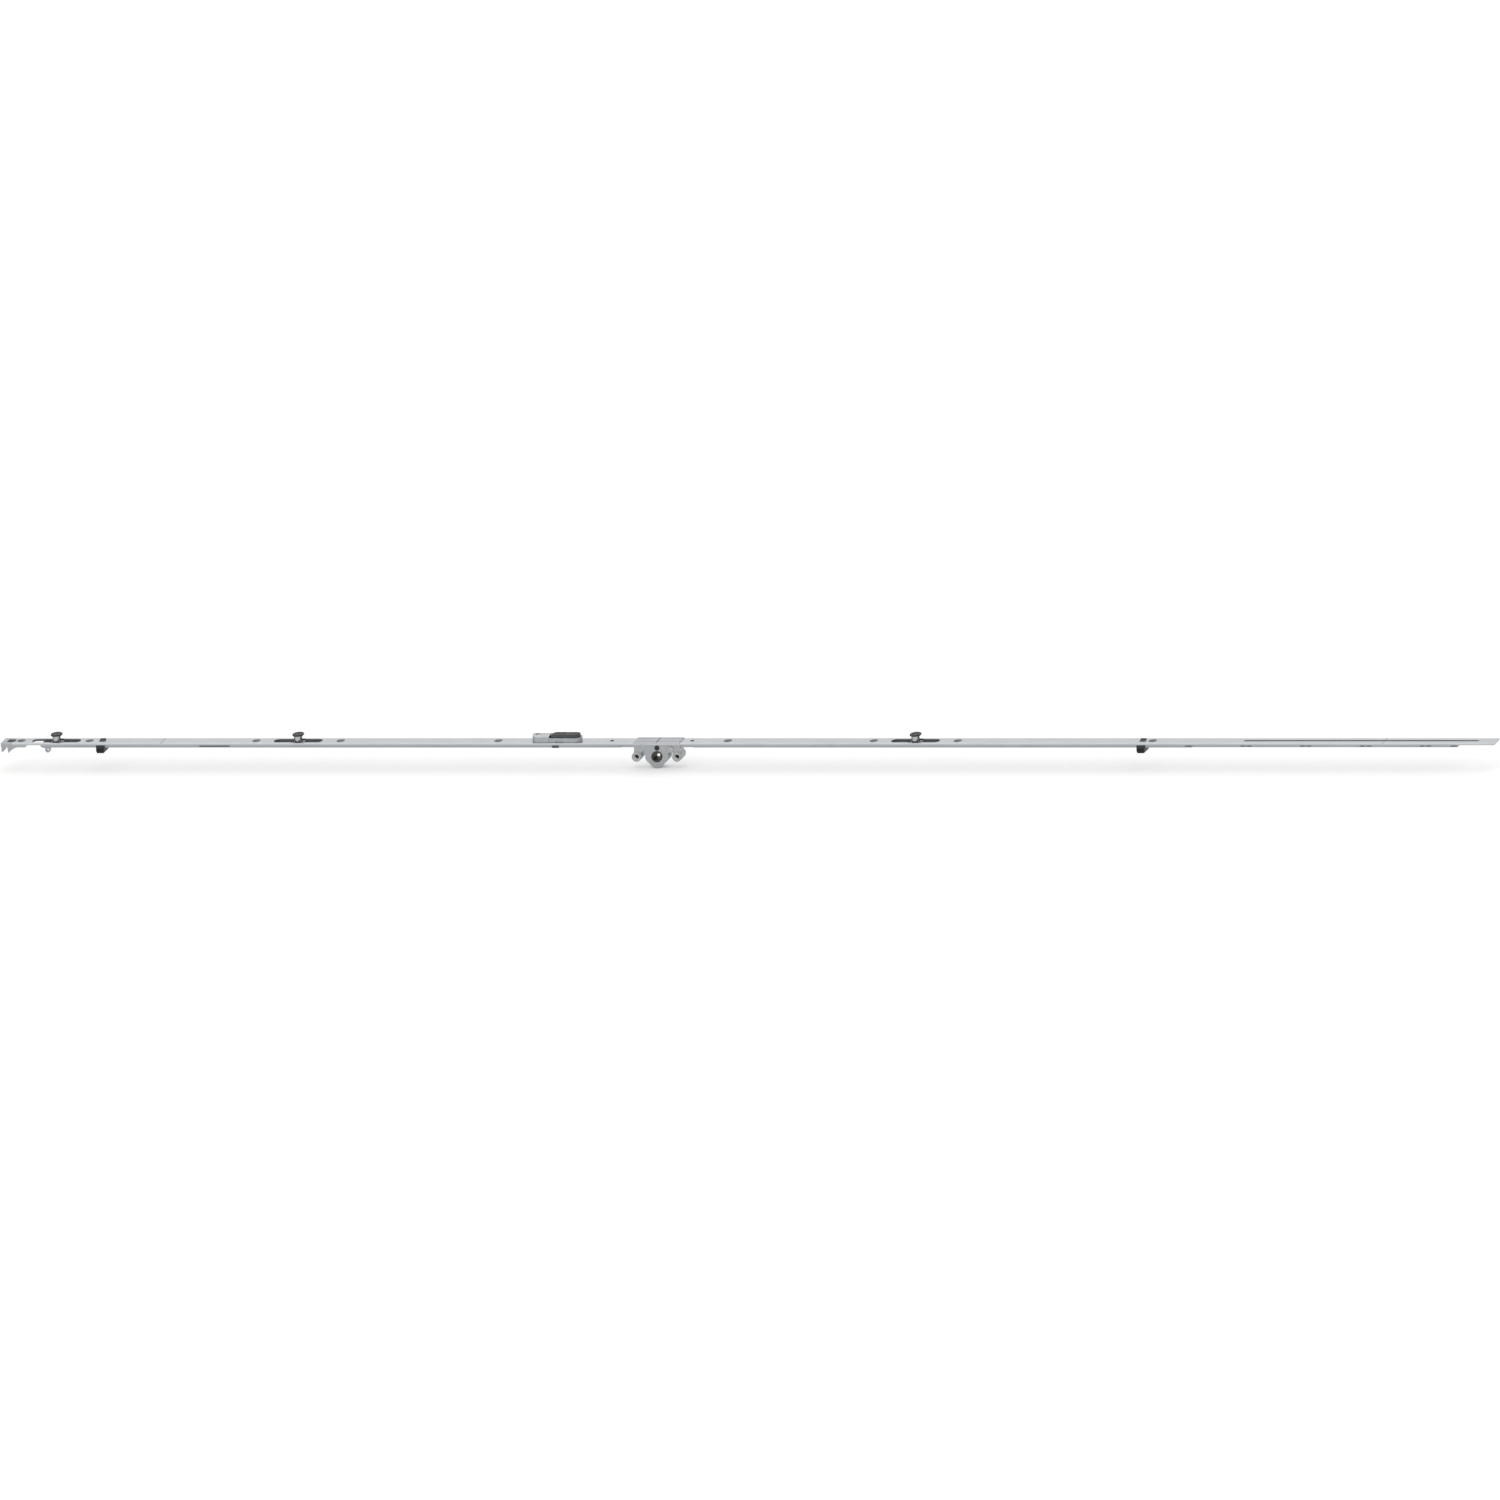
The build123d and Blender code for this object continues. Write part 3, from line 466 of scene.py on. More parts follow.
def finish_for(node):
    """The material of a CAD node's slot. Turned pieces get one of their own, because its rings need their axis."""
    colours = bpy.context.scene.espagnolette_colours
    slot = SLOTS[node]
    low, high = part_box(node)
    centre = (low + high) / 2
    shared = {
        "plated_strip": (rolled_steel, colours.strip, colours.strip_dark, (0.26, 0.4)),
        "drive_steel": (rolled_steel, colours.rod, colours.rod_dark, (0.28, 0.44)),
        "cast_zinc": (cast_zinc, colours.cast, colours.cast_dark, (0.38, 0.55)),
        "lever_zinc": (cast_zinc, colours.lever, colours.lever_dark, (0.36, 0.5)),
        "sintered_steel": (sintered_steel, colours.sintered, colours.sintered_dark, (0.5, 0.68)),
        "black_plastic": (moulded_plastic, colours.black, colours.black_dark, (0.4, 0.55)),
        "pale_plastic": (moulded_plastic, colours.pad, colours.pad_dark, (0.42, 0.58)),
    }
    if slot in shared:
        name = f"{slot}_finish"
        if name in bpy.data.materials:
            return bpy.data.materials[name]
        make, pale, dark, roughness = shared[slot]
        return make(name, pale, dark, roughness)
    along = "Y" if node.startswith(("handle_bush", "shell_screw", "blocker_pin")) else "Z"
    if slot == "cam_steel":
        return turned_steel(f"{node}_finish", colours.cam, colours.cam_dark, BLACKED_ROUGHNESS, centre, along)
    return turned_steel(f"{node}_finish", colours.bright, colours.bright_dark, BRIGHT_ROUGHNESS, centre, along)


def to_object(bm, name):
    """Turn a bmesh into an object at the origin."""
    mesh = bpy.data.meshes.new(name)
    bm.to_mesh(mesh)
    bm.free()
    made = bpy.data.objects.new(name, mesh)
    bpy.context.scene.collection.objects.link(made)
    return made


def shade(piece, node):
    """Give a piece the finish of a CAD node, and smooth shading that breaks at its sharp edges."""
    piece.data.materials.clear()
    piece.data.materials.append(finish_for(node))
    for face in piece.data.polygons:
        face.use_smooth = True
    piece.data.set_sharp_from_angle(angle=SHARP_ANGLE)


def settle(piece, node):
    """Give a finished piece its shading, finish and body, and let it stand for its CAD node."""
    shade(piece, node)
    weighted = piece.modifiers.new("Flat faces", "WEIGHTED_NORMAL")
    weighted.keep_sharp = True
    weighted.weight = LARGE_FACE_WEIGHT
    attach(piece, frame["nodes"][node]["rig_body"])
    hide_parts(node)
    return piece


def show_shear_and_painted_shade(piece, is_cut_or_hollow):
    """Give the faces that a punch has cut, and hollows that should read dark, the darker sheared finish in a second
    material slot: partly bare cut steel, partly painted shade.
    """
    name = "sheared_edge_finish"
    colours = bpy.context.scene.espagnolette_colours
    if name not in bpy.data.materials:
        sheared_and_shaded_steel(name, colours.shear, colours.shear_and_shade_dark, SHEARED_ROUGHNESS)
    piece.data.materials.append(bpy.data.materials[name])
    for face in piece.data.polygons:
        if is_cut_or_hollow(face):
            face.material_index = 1


def is_cramped(edge, sharp, room):
    """Whether another sharp edge of the same face passes nearer than the room that a rounding needs."""
    ends = [vert.co for vert in edge.verts]
    for face in edge.link_faces:
        for other in face.edges:
            if other not in sharp or set(other.verts) & set(edge.verts):
                continue
            start, stop = (vert.co for vert in other.verts)
            for point in (*ends, (ends[0] + ends[1]) / 2):
                along = min(max(intersect_point_line(point, start, stop)[1], 0.0), 1.0)
                if (start.lerp(stop, along) - point).length < room:
                    return True
    return False


def round_edges(bm, edges, offset, segments):
    """Round the given edges."""
    bmesh.ops.bevel(
        bm,
        geom=edges,
        offset=offset,
        offset_type="OFFSET",
        affect="EDGES",
        segments=segments,
        profile=0.5,
        clamp_overlap=False,
        material=-1,
    )


def break_edges(bm, rim):
    """Round every sharp edge, apart from hollow ones that have no room for it."""
    sharp = [e for e in bm.edges if e.is_manifold and e.calc_face_angle() > ROUND_ANGLE]
    marked = set(sharp)
    chosen = [e for e in sharp if e.is_convex or not is_cramped(e, marked, 2 * rim)]
    bmesh.ops.connect_verts_concave(bm, faces=bm.faces)
    round_edges(bm, chosen, rim, segments=2)
    bmesh.ops.connect_verts_concave(bm, faces=bm.faces)
    bmesh.ops.dissolve_degenerate(bm, dist=SLIVER, edges=bm.edges)


def dress(node, rim, cuts=None, scores=None, merge=0.0):
    """A copy of a CAD node with its loose triangles merged into whole faces, edges shorter than a length merged
    away, relief cut in if it has any, its edges rounded, and then any sharp scores cut in."""
    bm = bmesh.new()
    bm.from_mesh(frame["nodes"][node].data)
    bmesh.ops.remove_doubles(bm, verts=bm.verts, dist=WELD)
    bmesh.ops.dissolve_limit(bm, angle_limit=FLAT_ANGLE, verts=bm.verts, edges=bm.edges)
    if merge:
        bmesh.ops.dissolve_degenerate(bm, dist=merge * MM, edges=bm.edges)
    if cuts is None:
        break_edges(bm, rim * MM)
        return settle(to_object(bm, f"{node}_detail"), node)
    piece = to_object(bm, f"{node}_detail")
    carve(piece, cuts, rim * MM)
    if scores is not None:
        carve(piece, scores)
    return settle(piece, node)


def middle_x(node):
    """The middle of a CAD node's box along the bar."""
    low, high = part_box(node)
    return (low.x + high.x) / 2


def add_box(bm, x0, x1, y0, y1, z0, z1):
    """A box between two corners, in metres."""
    verts = bmesh.ops.create_cube(bm, size=1.0)["verts"]
    bmesh.ops.scale(bm, vec=(x1 - x0, y1 - y0, z1 - z0), verts=verts)
    bmesh.ops.translate(bm, vec=((x0 + x1) / 2, (y0 + y1) / 2, (z0 + z1) / 2), verts=verts)
    return verts


def add_cone(bm, x, y, z0, z1, low_radius, high_radius):
    """An upright cone or cylinder between two heights, turned so that no corner lies on the Y axis."""
    verts = bmesh.ops.create_cone(
        bm,
        cap_ends=True,
        segments=ROUND_STEPS,
        radius1=low_radius,
        radius2=high_radius,
        depth=z1 - z0,
        matrix=Matrix.Translation((x, y, (z0 + z1) / 2)) @ Matrix.Rotation(pi / ROUND_STEPS, 4, "Z"),
    )["verts"]
    return verts


def add_slot(bm, x0, x1, width, z0, z1):
    """An upright prism with round ends between two places along the bar."""
    middle = (x0 + x1) / 2
    radius = width / 2 / cos(pi / ROUND_STEPS)
    reach = (x1 - x0) / 2 - width / 2
    verts = add_cone(bm, middle, 0, z0, z1, radius, radius)
    for side in (-1, 1):
        half = [v for v in verts if (v.co.x - middle) * side > 0]
        bmesh.ops.translate(bm, vec=(side * reach, 0, 0), verts=half)


def add_prism(bm, points, z0, z1):
    """An upright prism over an outline of X and Y places."""
    face = bm.faces.new([bm.verts.new((x, y, z0)) for x, y in points])
    grown = bmesh.ops.extrude_face_region(bm, geom=[face])["geom"]
    verts = [v for v in grown if isinstance(v, bmesh.types.BMVert)]
    bmesh.ops.translate(bm, vec=(0, 0, z1 - z0), verts=verts)


def carve(piece, cutter_bm, rim=0.0):
    """Cut a bmesh of prisms out of a piece, and round the rims if they have a width."""
    bmesh.ops.recalc_face_normals(cutter_bm, faces=cutter_bm.faces)
    cutter = to_object(cutter_bm, "cutter")
    cut = piece.modifiers.new("Carve", "BOOLEAN")
    cut.object = cutter
    cut.operation = "DIFFERENCE"
    cut.solver = "EXACT"
    cut.use_self = True
    graph = bpy.context.evaluated_depsgraph_get()
    carved = bpy.data.meshes.new_from_object(piece.evaluated_get(graph))
    plain = piece.data
    piece.modifiers.clear()
    piece.data = carved
    carved.name = piece.name
    bpy.data.meshes.remove(plain)
    bpy.data.objects.remove(cutter)
    bm = bmesh.new()
    bm.from_mesh(carved)
    if rim:
        break_edges(bm, rim)
    bm.to_mesh(carved)
    bm.free()


def turn(name, profile, centre, axis, steps, closed):
    """Spin a profile of radius and height points round an axis through a centre, all in metres."""
    bm = bmesh.new()
    verts = [bm.verts.new((radius, 0, height)) for radius, height in profile]
    ends = zip(verts, verts[1:] + verts[:1]) if closed else zip(verts, verts[1:])
    edges = [bm.edges.new(pair) for pair in ends]
    bmesh.ops.spin(
        bm,
        geom=verts + edges,
        cent=(0, 0, 0),
        axis=(0, 0, 1),
        dvec=(0, 0, 0),
        angle=2 * pi,
        steps=steps,
        use_merge=True,
        use_duplicate=False,
    )
    bmesh.ops.remove_doubles(bm, verts=bm.verts, dist=TURNED_WELD)
    bmesh.ops.recalc_face_normals(bm, faces=bm.faces)
    turned = Matrix.Rotation(pi / 2, 4, "X") if axis == "Y" else Matrix.Identity(4)
    bmesh.ops.transform(bm, matrix=Matrix.Translation(centre) @ turned, verts=bm.verts)
    return to_object(bm, name)


def quarter(radius, corner_radius, height, start, end, steps=5):
    """Profile points of a rounded corner whose arc's middle is at a radius and height."""
    return [
        (
            radius + corner_radius * cos(start + (end - start) * n / steps),
            height + corner_radius * sin(start + (end - start) * n / steps),
        )
        for n in range(steps + 1)
    ]


class FaceplateBuilder(bpy.types.Operator):
    """Punch and countersink the long faceplate"""

    bl_idname = "espagnolette.faceplate"
    bl_label = "Faceplate"

    def execute(self, context):
        sizes = context.scene.espagnolette_strip
        low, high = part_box("faceplate")
        bm = bmesh.new()
        add_box(bm, low.x, high.x, low.y, high.y, low.z, high.z)
        long_edges = [e for e in bm.edges if abs(e.verts[0].co.x - e.verts[1].co.x) > (high.x - low.x) / 2]
        round_edges(bm, long_edges, sizes.edge_radius, segments=4)
        piece = to_object(bm, "faceplate_strip")

        under, over = low.z - MM, high.z + MM
        cuts = bmesh.new()
        for n in CAMS:
            x = middle_x(f"mushroom_cam_{n}")
            add_slot(cuts, x - sizes.slot_length / 2, x + sizes.slot_length / 2, sizes.slot_width, under, over)
            add_box(cuts, x - sizes.gate / 2, x + sizes.gate / 2, -sizes.gate / 2, sizes.gate / 2, under, over)
        for node in BLOCKS:
            x = middle_x(node)
            add_box(cuts, x - sizes.window / 2, x + sizes.window / 2, -sizes.window / 2, sizes.window / 2, under, over)
        for x in INDEX_HOLE_XS:
            add_cone(cuts, x * MM, 0, under, over, sizes.index_hole / 2, sizes.index_hole / 2)
        add_slot(cuts, CUT_SLOT[0] * MM, CUT_SLOT[1] * MM, sizes.cut_slot, under, over)
        for x in SCREW_XS:
            slope = tan(sizes.head_angle / 2)
            depth = (sizes.screw_head - sizes.screw_hole) / 2 / slope
            add_cone(cuts, x * MM, 0, under, over, sizes.screw_hole / 2, sizes.screw_hole / 2)
            add_cone(
                cuts, x * MM, 0, high.z - depth, over, sizes.screw_hole / 2, sizes.screw_head / 2 + MM * slope
            )
        for x in TAB_XS:
            for y in (low.y, high.y):
                add_box(cuts, (x - TAB_HALF) * MM, (x + TAB_HALF) * MM, y - MM, y + MM, under, over)
        for x in TONGUE_XS:
            x0, x1 = (x - TONGUE_HALF_X) * MM, (x + TONGUE_HALF_X) * MM
            for y in TONGUE_YS:
                add_box(cuts, x0, x1, (y - TONGUE_HALF_Y) * MM, (y + TONGUE_HALF_Y) * MM, under, over)
        rivets_low, rivets_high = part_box("blocker_rivets")
        catch_low, catch_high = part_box("rod_catch")
        stroke = JOINTS["rod_slide"]["range_m"][1]
        half = sizes.blocker_slot / 2
        add_box(cuts, catch_low.x - stroke - MM, catch_high.x + stroke + MM, -half, half, under, over)
        inset = BLOCKER_RIVET_INSET * MM
        bore = BLOCKER_RIVET_BORE * MM
        for x in (rivets_low.x + inset, rivets_high.x - inset):
            add_cone(cuts, x, 0, under, over, bore, bore)
        rivet_low, rivet_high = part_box("coupling_rivets")
        reach = (rivet_high.x - rivet_low.x) / 2
        bore = COUPLING_RIVET_BORE * MM
        for y in (rivet_low.y + reach, rivet_high.y - reach):
            add_cone(cuts, middle_x("coupling_rivets"), y, under, over, bore, bore)
        add_slot(
            cuts, low.x - END_SLOT_OVERCUT * MM, low.x + END_SLOT_DEPTH * MM, END_SLOT_WIDTH * MM, under, over
        )
        carve(piece, cuts, sizes.rim)
        scores = bmesh.new()
        half = sizes.score_width / 2
        for x in SCORE_XS:
            add_box(scores, x * MM - half, x * MM + half, low.y - MM, high.y + MM, high.z - sizes.score_depth, over)
        carve(piece, scores)
        settle(piece, "faceplate")
        # Hole and slot walls and the countersinks get the darker sheared finish: partly bare cut steel, partly painted
        # shade in these hollows
        show_shear_and_painted_shade(
            piece,
            lambda face: low.z + SKIN < face.center.z < high.z - SKIN
            and abs(face.center.y) < high.y - sizes.edge_radius - SKIN
            and low.x + MM < face.center.x < high.x - MM,
        )
        return {"FINISHED"}


def clearance(cuts, x0, x1, z0, z1, sizes, stroke):
    """A slot that clears what stands between two places over the rod's whole stroke."""
    margin = stroke + sizes.slot_margin
    add_slot(cuts, x0 - margin, x1 + margin, sizes.slot_width, z0, z1)


def serrate(cuts, x0, teeth, edge, z0, z1, sizes):
    """A row of notches to cut into one edge of the rod, with flat crests between them."""
    side = 1 if edge > 0 else -1
    half = (sizes.tooth_pitch - sizes.tooth_crest) / 2
    overcut = 0.1 * MM
    mouth = half * (1 + overcut / sizes.tooth_depth)
    for n in range(teeth):
        x = x0 + (n + 0.5) * sizes.tooth_pitch
        points = [(x - mouth, edge + side * overcut), (x, edge - side * sizes.tooth_depth)]
        points.append((x + mouth, edge + side * overcut))
        add_prism(cuts, points, z0, z1)


class RodBuilder(bpy.types.Operator):
    """Cut the slots, hooks and serrations of the two drive rods"""

    bl_idname = "espagnolette.rods"
    bl_label = "Drive rods"

    def execute(self, context):
        sizes = context.scene.espagnolette_rod
        stroke = JOINTS["rod_slide"]["range_m"][1]
        peg = PEG_REACH * MM
        spans = {
            "rod_left": [(x * MM, x * MM) for x in SCREW_XS[2:5]]
            + [(SCREW_XS[1] * MM, middle_x("support_block_left") + peg)],
            "rod_right": [(x * MM, x * MM) for x in SCREW_XS[5:8]]
            + [(middle_x("support_block_right") - peg, SCREW_XS[8] * MM)],
        }
        (left_row_x, left_row_teeth), (right_row_x, right_row_teeth) = SINGLE_TEETH
        pins = {"rod_left": (1, 2), "rod_right": (3,)}
        for node in ("rod_left", "rod_right"):
            low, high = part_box(node)
            under, over = low.z - MM, high.z + MM
            bm = bmesh.new()
            add_box(bm, low.x, high.x, low.y, high.y, low.z, high.z)
            if node == "rod_left":
                corner = [
                    e for e in bm.edges if all(v.co.x < low.x + MM and v.co.z < low.z + MM / 10 for v in e.verts)
                ]
                round_edges(bm, corner, sizes.corner_radius, segments=8)
            piece = to_object(bm, node.replace("rod_", "drive_rod_"))
            cuts = bmesh.new()
            for x0, x1 in spans[node]:
                clearance(cuts, x0, x1, under, over, sizes, stroke)
            for n in pins[node]:
                add_cone(cuts, middle_x(f"cam_pin_{n}"), 0, under, over, PIN_BORE * MM, PIN_BORE * MM)
            side = -1 if node == "rod_left" else 1
            neck = sorted(side * (JOINT_X + reach) * MM for reach in NECK_REACHES)
            head = sorted(side * (JOINT_X + reach) * MM for reach in HEAD_REACHES)
            add_box(cuts, *neck, -NECK_HALF * MM, NECK_HALF * MM, under, over)
            add_box(cuts, *head, -HEAD_HALF * MM, HEAD_HALF * MM, under, over)
            for edge in (low.y, high.y):
                if node == "rod_left":
                    serrate(cuts, left_row_x * MM, left_row_teeth, edge, under, over, sizes)
                    continue
                step_x = right_row_x * MM + right_row_teeth * sizes.tooth_pitch + sizes.tooth_crest
                serrate(cuts, right_row_x * MM, right_row_teeth, edge, under, over, sizes)
                narrow = sizes.narrow / 2 * (1 if edge > 0 else -1)
                add_box(cuts, step_x, high.x + MM, *sorted((narrow, edge * SIDE_OVERCUT)), under, over)
                for x in RIGHT_TEETH:
                    second_x = x * MM + GROUP_TEETH * sizes.tooth_pitch + sizes.group_gap
                    serrate(cuts, x * MM, GROUP_TEETH, narrow, under, over, sizes)
                    serrate(cuts, second_x, GROUP_TEETH, narrow, under, over, sizes)
                last_x = high.x - LAST_TEETH * sizes.tooth_pitch - sizes.tooth_crest
                serrate(cuts, last_x, LAST_TEETH, narrow, under, over, sizes)
            if node == "rod_left":
                catch_low, catch_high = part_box("rod_catch")
                add_box(cuts, catch_low.x, catch_high.x, catch_low.y, catch_high.y, catch_low.z, over)
            carve(piece, cuts, sizes.rim)
            settle(piece, node)
            # Slot, notch and joint walls get the darker sheared finish: partly bare cut steel, partly painted shade in
            # these hollows
            show_shear_and_painted_shade(
                piece,
                lambda face: low.z + SKIN < face.center.z < high.z - SKIN
                and (abs(face.center.y) < sizes.narrow / 2 - MM or abs(face.normal.x) > CUT_SLOPE)
                and low.x + MM < face.center.x < high.x - MM,
            )
        for node, rim in (("rack_carriage", 0.12), ("rod_end_lug", 0.2), ("rod_catch", 0.15)):
            dress(node, rim)
        return {"FINISHED"}


class GearboxBuilder(bpy.types.Operator):
    """Make the gearbox: two castings, cover, bushes, screw, plug and follower"""

    bl_idname = "espagnolette.gearbox"
    bl_label = "Gearbox"

    def execute(self, context):
        sizes = context.scene.espagnolette_turned
        rims = {
            "gearbox_front_shell": 0.12,
            "gearbox_rear_shell": 0.12,
            "shell_screw": 0.08,
            "midstop_plug": 0.08,
            "follower_gear": 0.1,
        }
        for node, rim in rims.items():
            dress(node, rim)
        low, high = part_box("gearbox_cover")
        half = COVER_GROOVE_HALF * MM
        floor = high.z - COVER_GROOVE_DEPTH * MM
        margin = COVER_MARGIN * MM
        cuts = bmesh.new()
        for y in COVER_GROOVE_YS:
            add_box(cuts, low.x - MM, high.x + MM, y * MM - half, y * MM + half, floor, high.z + MM)
        add_box(cuts, -half, half, low.y - MM, high.y + MM, floor, high.z + MM)
        cover = dress("gearbox_cover", 0.1, cuts)
        # The floors and walls of the cover's grooves get the darker sheared finish as painted shade, so that the
        # grooves read as dark lines
        show_shear_and_painted_shade(
            cover,
            lambda face: floor - SKIN < face.center.z < high.z - COVER_GROOVE_LIP * MM
            and abs(face.center.x) < high.x - margin
            and abs(face.center.y) < high.y - margin,
        )
        for node in ("handle_bush_left", "handle_bush_right"):
            low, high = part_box(node)
            outer = (high.x - low.x) / 2
            half = (high.y - low.y) / 2
            bore = BUSH_BORE * MM
            chamfer = BUSH_CHAMFER * MM
            turns = int((2 * half - sizes.thread_pitch) / sizes.thread_pitch)
            start = -turns * sizes.thread_pitch / 2
            profile = [(outer - chamfer, -half), (outer, -half + chamfer)]
            profile += [(outer, half - chamfer), (outer - chamfer, half)]
            profile += [(bore + sizes.thread_depth + chamfer, half), (bore, -start)]
            for n in range(turns):
                height = -start - n * sizes.thread_pitch
                profile.append((bore + sizes.thread_depth, height - sizes.thread_pitch / 2))
                profile.append((bore, height - sizes.thread_pitch))
            profile += [(bore + sizes.thread_depth + chamfer, -half)]
            centre = ((low.x + high.x) / 2, 0, (low.z + high.z) / 2)
            settle(turn(f"{node}_threaded", profile, centre, "Y", sizes.steps, True), node)
        return {"FINISHED"}


class CamBuilder(bpy.types.Operator):
    """Turn the mushroom cams and their shoulder pins"""

    bl_idname = "espagnolette.cams"
    bl_label = "Mushroom cams"

    def execute(self, context):
        sizes = context.scene.espagnolette_turned
        colours = context.scene.espagnolette_colours
        for n in CAMS:
            node = f"mushroom_cam_{n}"
            centre = (middle_x(node), 0, 0)
            self.make_cam(node, centre, sizes, colours)
            self.make_pin(f"cam_pin_{n}", centre, sizes, colours)
        return {"FINISHED"}

    def make_cam(self, node, centre, sizes, colours):
        """A cam: a blacked head with a recess, on a bright stem."""
        low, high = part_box(node)
        head = (high.x - low.x) / 2
        stem = CAM_STEM * MM
        bore = CAM_BORE * MM
        recess = CAM_RECESS * MM
        foot = CAM_FOOT_CHAMFER * MM
        lip = CAM_RECESS_CHAMFER * MM
        floor = high.z - CAM_RECESS_DEPTH * MM
        under = high.z - CAM_HEAD_HEIGHT * MM
        r = sizes.head_round
        profile = [(bore, low.z), (stem - foot, low.z), (stem, low.z + foot)]
        profile += quarter(stem + r, r, under - r, pi, pi / 2)
        profile += quarter(head - r, r, under + r, -pi / 2, 0)
        profile += quarter(head - r, r, high.z - r, 0, pi / 2)
        profile += [(recess + lip, high.z), (recess, high.z - lip), (recess, floor), (bore, floor)]
        cam = settle(turn(f"{node}_turned", profile, centre, "Z", sizes.steps, True), node)
        middle = (centre[0], 0, under)
        cam.data.materials.append(
            turned_steel(f"{node}_stem_finish", colours.bright, colours.bright_dark, STEM_ROUGHNESS, middle, "Z")
        )
        for face in cam.data.polygons:
            beyond = (face.center - Vector((centre[0], 0, face.center.z))).length
            if face.center.z < under and beyond > bore * OUTSIDE_SHARE:
                face.material_index = 1

    def make_pin(self, node, centre, sizes, colours):
        """A shoulder pin: a rivet under the plate, a shank, and a blacked head with a dimple."""
        low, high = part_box(node)
        rivet = PIN_RIVET * MM
        shank = PIN_SHANK * MM
        plate = PIN_PLATE_Z * MM
        seat = PIN_SEAT_Z * MM
        head = PIN_HEAD * MM
        profile = [(0, low.z)] + [(rivet * share, low.z + rise * MM) for share, rise in PIN_TAIL]
        profile += [(rivet, plate - PIN_PLATE_CHAMFER * MM), (rivet, plate)]
        profile += [(shank, plate), (shank, seat), (head, seat)]
        profile += quarter(head - sizes.dome, sizes.dome, high.z - sizes.dome, 0, pi / 2)
        profile += [(radius * MM, high.z - depth * MM) for radius, depth in PIN_DIMPLE]
        pin = settle(turn(f"{node}_turned", profile, centre, "Z", sizes.steps, False), node)
        pin.data.materials.append(
            turned_steel(f"{node}_head_finish", colours.cam, colours.cam_dark, BLACKED_ROUGHNESS, centre, "Z")
        )
        for face in pin.data.polygons:
            if face.center.z > seat:
                face.material_index = 1


class FittingsBuilder(bpy.types.Operator):
    """Make the support blocks, the coupling end and the blocker"""

    bl_idname = "espagnolette.fittings"
    bl_label = "Blocks, coupling end and blocker"

    def execute(self, context):
        rims = {
            "support_block_left": 0.15,
            "support_block_right": 0.15,
            "coupling_end": 0.2,
            "coupling_rivets": 0.15,
            "blocker_rivets": 0.15,
            "blocker_pin": 0.12,
            "blocker_spring": 0.05,
        }
        for node, rim in rims.items():
            dress(node, rim)
        dress("blocker_lever", 0.15, merge=0.1)
        sizes = context.scene.espagnolette_blocker
        self.make_base(sizes)
        self.make_pad(sizes)
        self.make_strap(sizes)
        return {"FINISHED"}

    def make_base(self, sizes):
        """The blocker's casting, with a shallow arched relief in the foot of both long sides."""
        low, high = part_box("blocker_base")
        cuts = bmesh.new()
        joints = bmesh.new()
        relief_right = sizes.relief_left + sizes.relief_length
        top = low.z + sizes.relief_height
        half = sizes.joint_width / 2
        for side, face in ((-1, low.y), (1, high.y)):
            near, far = sorted((face + side * MM, face - side * sizes.relief_depth))
            verts = add_box(cuts, sizes.relief_left, relief_right, near, far, low.z - MM, top)
            crown = [
                e
                for e in cuts.edges
                if all(v in verts and v.co.z > low.z for v in e.verts)
                and abs(e.verts[0].co.x - e.verts[1].co.x) < MM / 10
            ]
            round_edges(cuts, crown, sizes.relief_round, segments=6)
            near, far = sorted((face + side * MM, face - side * sizes.joint_depth))
            add_box(joints, sizes.joint - half, sizes.joint + half, near, far, low.z - MM, high.z + MM)
        dress("blocker_base", 0.2, cuts, joints)

    def make_pad(self, sizes):
        """The lever's pad, with grip grooves, an arrow towards the nose and an oval for the thumb."""
        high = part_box("lever_pad")[1]
        floor, over = high.z - sizes.groove_depth, high.z + MM
        half = sizes.groove_width / 2
        reach = high.y - sizes.groove_margin
        cuts = bmesh.new()
        for n in range(sizes.grooves):
            x = sizes.groove_left + n * sizes.groove_pitch
            add_box(cuts, x - half, x + half, -reach, reach, floor, over)
        tip, base = sizes.arrow_tip, sizes.arrow_tip + sizes.arrow_length
        add_prism(cuts, [(tip, 0), (base, -sizes.arrow_length / 2), (base, sizes.arrow_length / 2)], floor, over)
        add_slot(cuts, sizes.oval_left, sizes.oval_left + sizes.oval_length, sizes.oval_width, floor, over)
        reach = sizes.mark_length / 2
        add_box(cuts, sizes.mark - half, sizes.mark + half, -reach, reach, floor, over)
        dress("lever_pad", 0.1, cuts)

    def make_strap(self, sizes):
        """A thin steel strap round the rod that holds the catch."""
        catch_low, catch_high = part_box("rod_catch")
        rod_low, rod_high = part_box("rod_left")
        left = catch_low.x - sizes.strap_overhang
        right = catch_high.x + sizes.strap_overhang
        wrap = sizes.strap_thickness
        bm = bmesh.new()
        add_box(bm, left, right, rod_low.y - wrap, rod_high.y + wrap, rod_low.z - wrap, rod_high.z - 2 * wrap)
        strap = to_object(bm, "catch_strap")
        cuts = bmesh.new()
        add_box(cuts, left - MM, right + MM, rod_low.y, rod_high.y, rod_low.z, rod_high.z + MM)
        carve(strap, cuts, sizes.strap_rim)
        shade(strap, "blocker_lever")
        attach(strap, frame["nodes"]["rod_left"]["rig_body"])


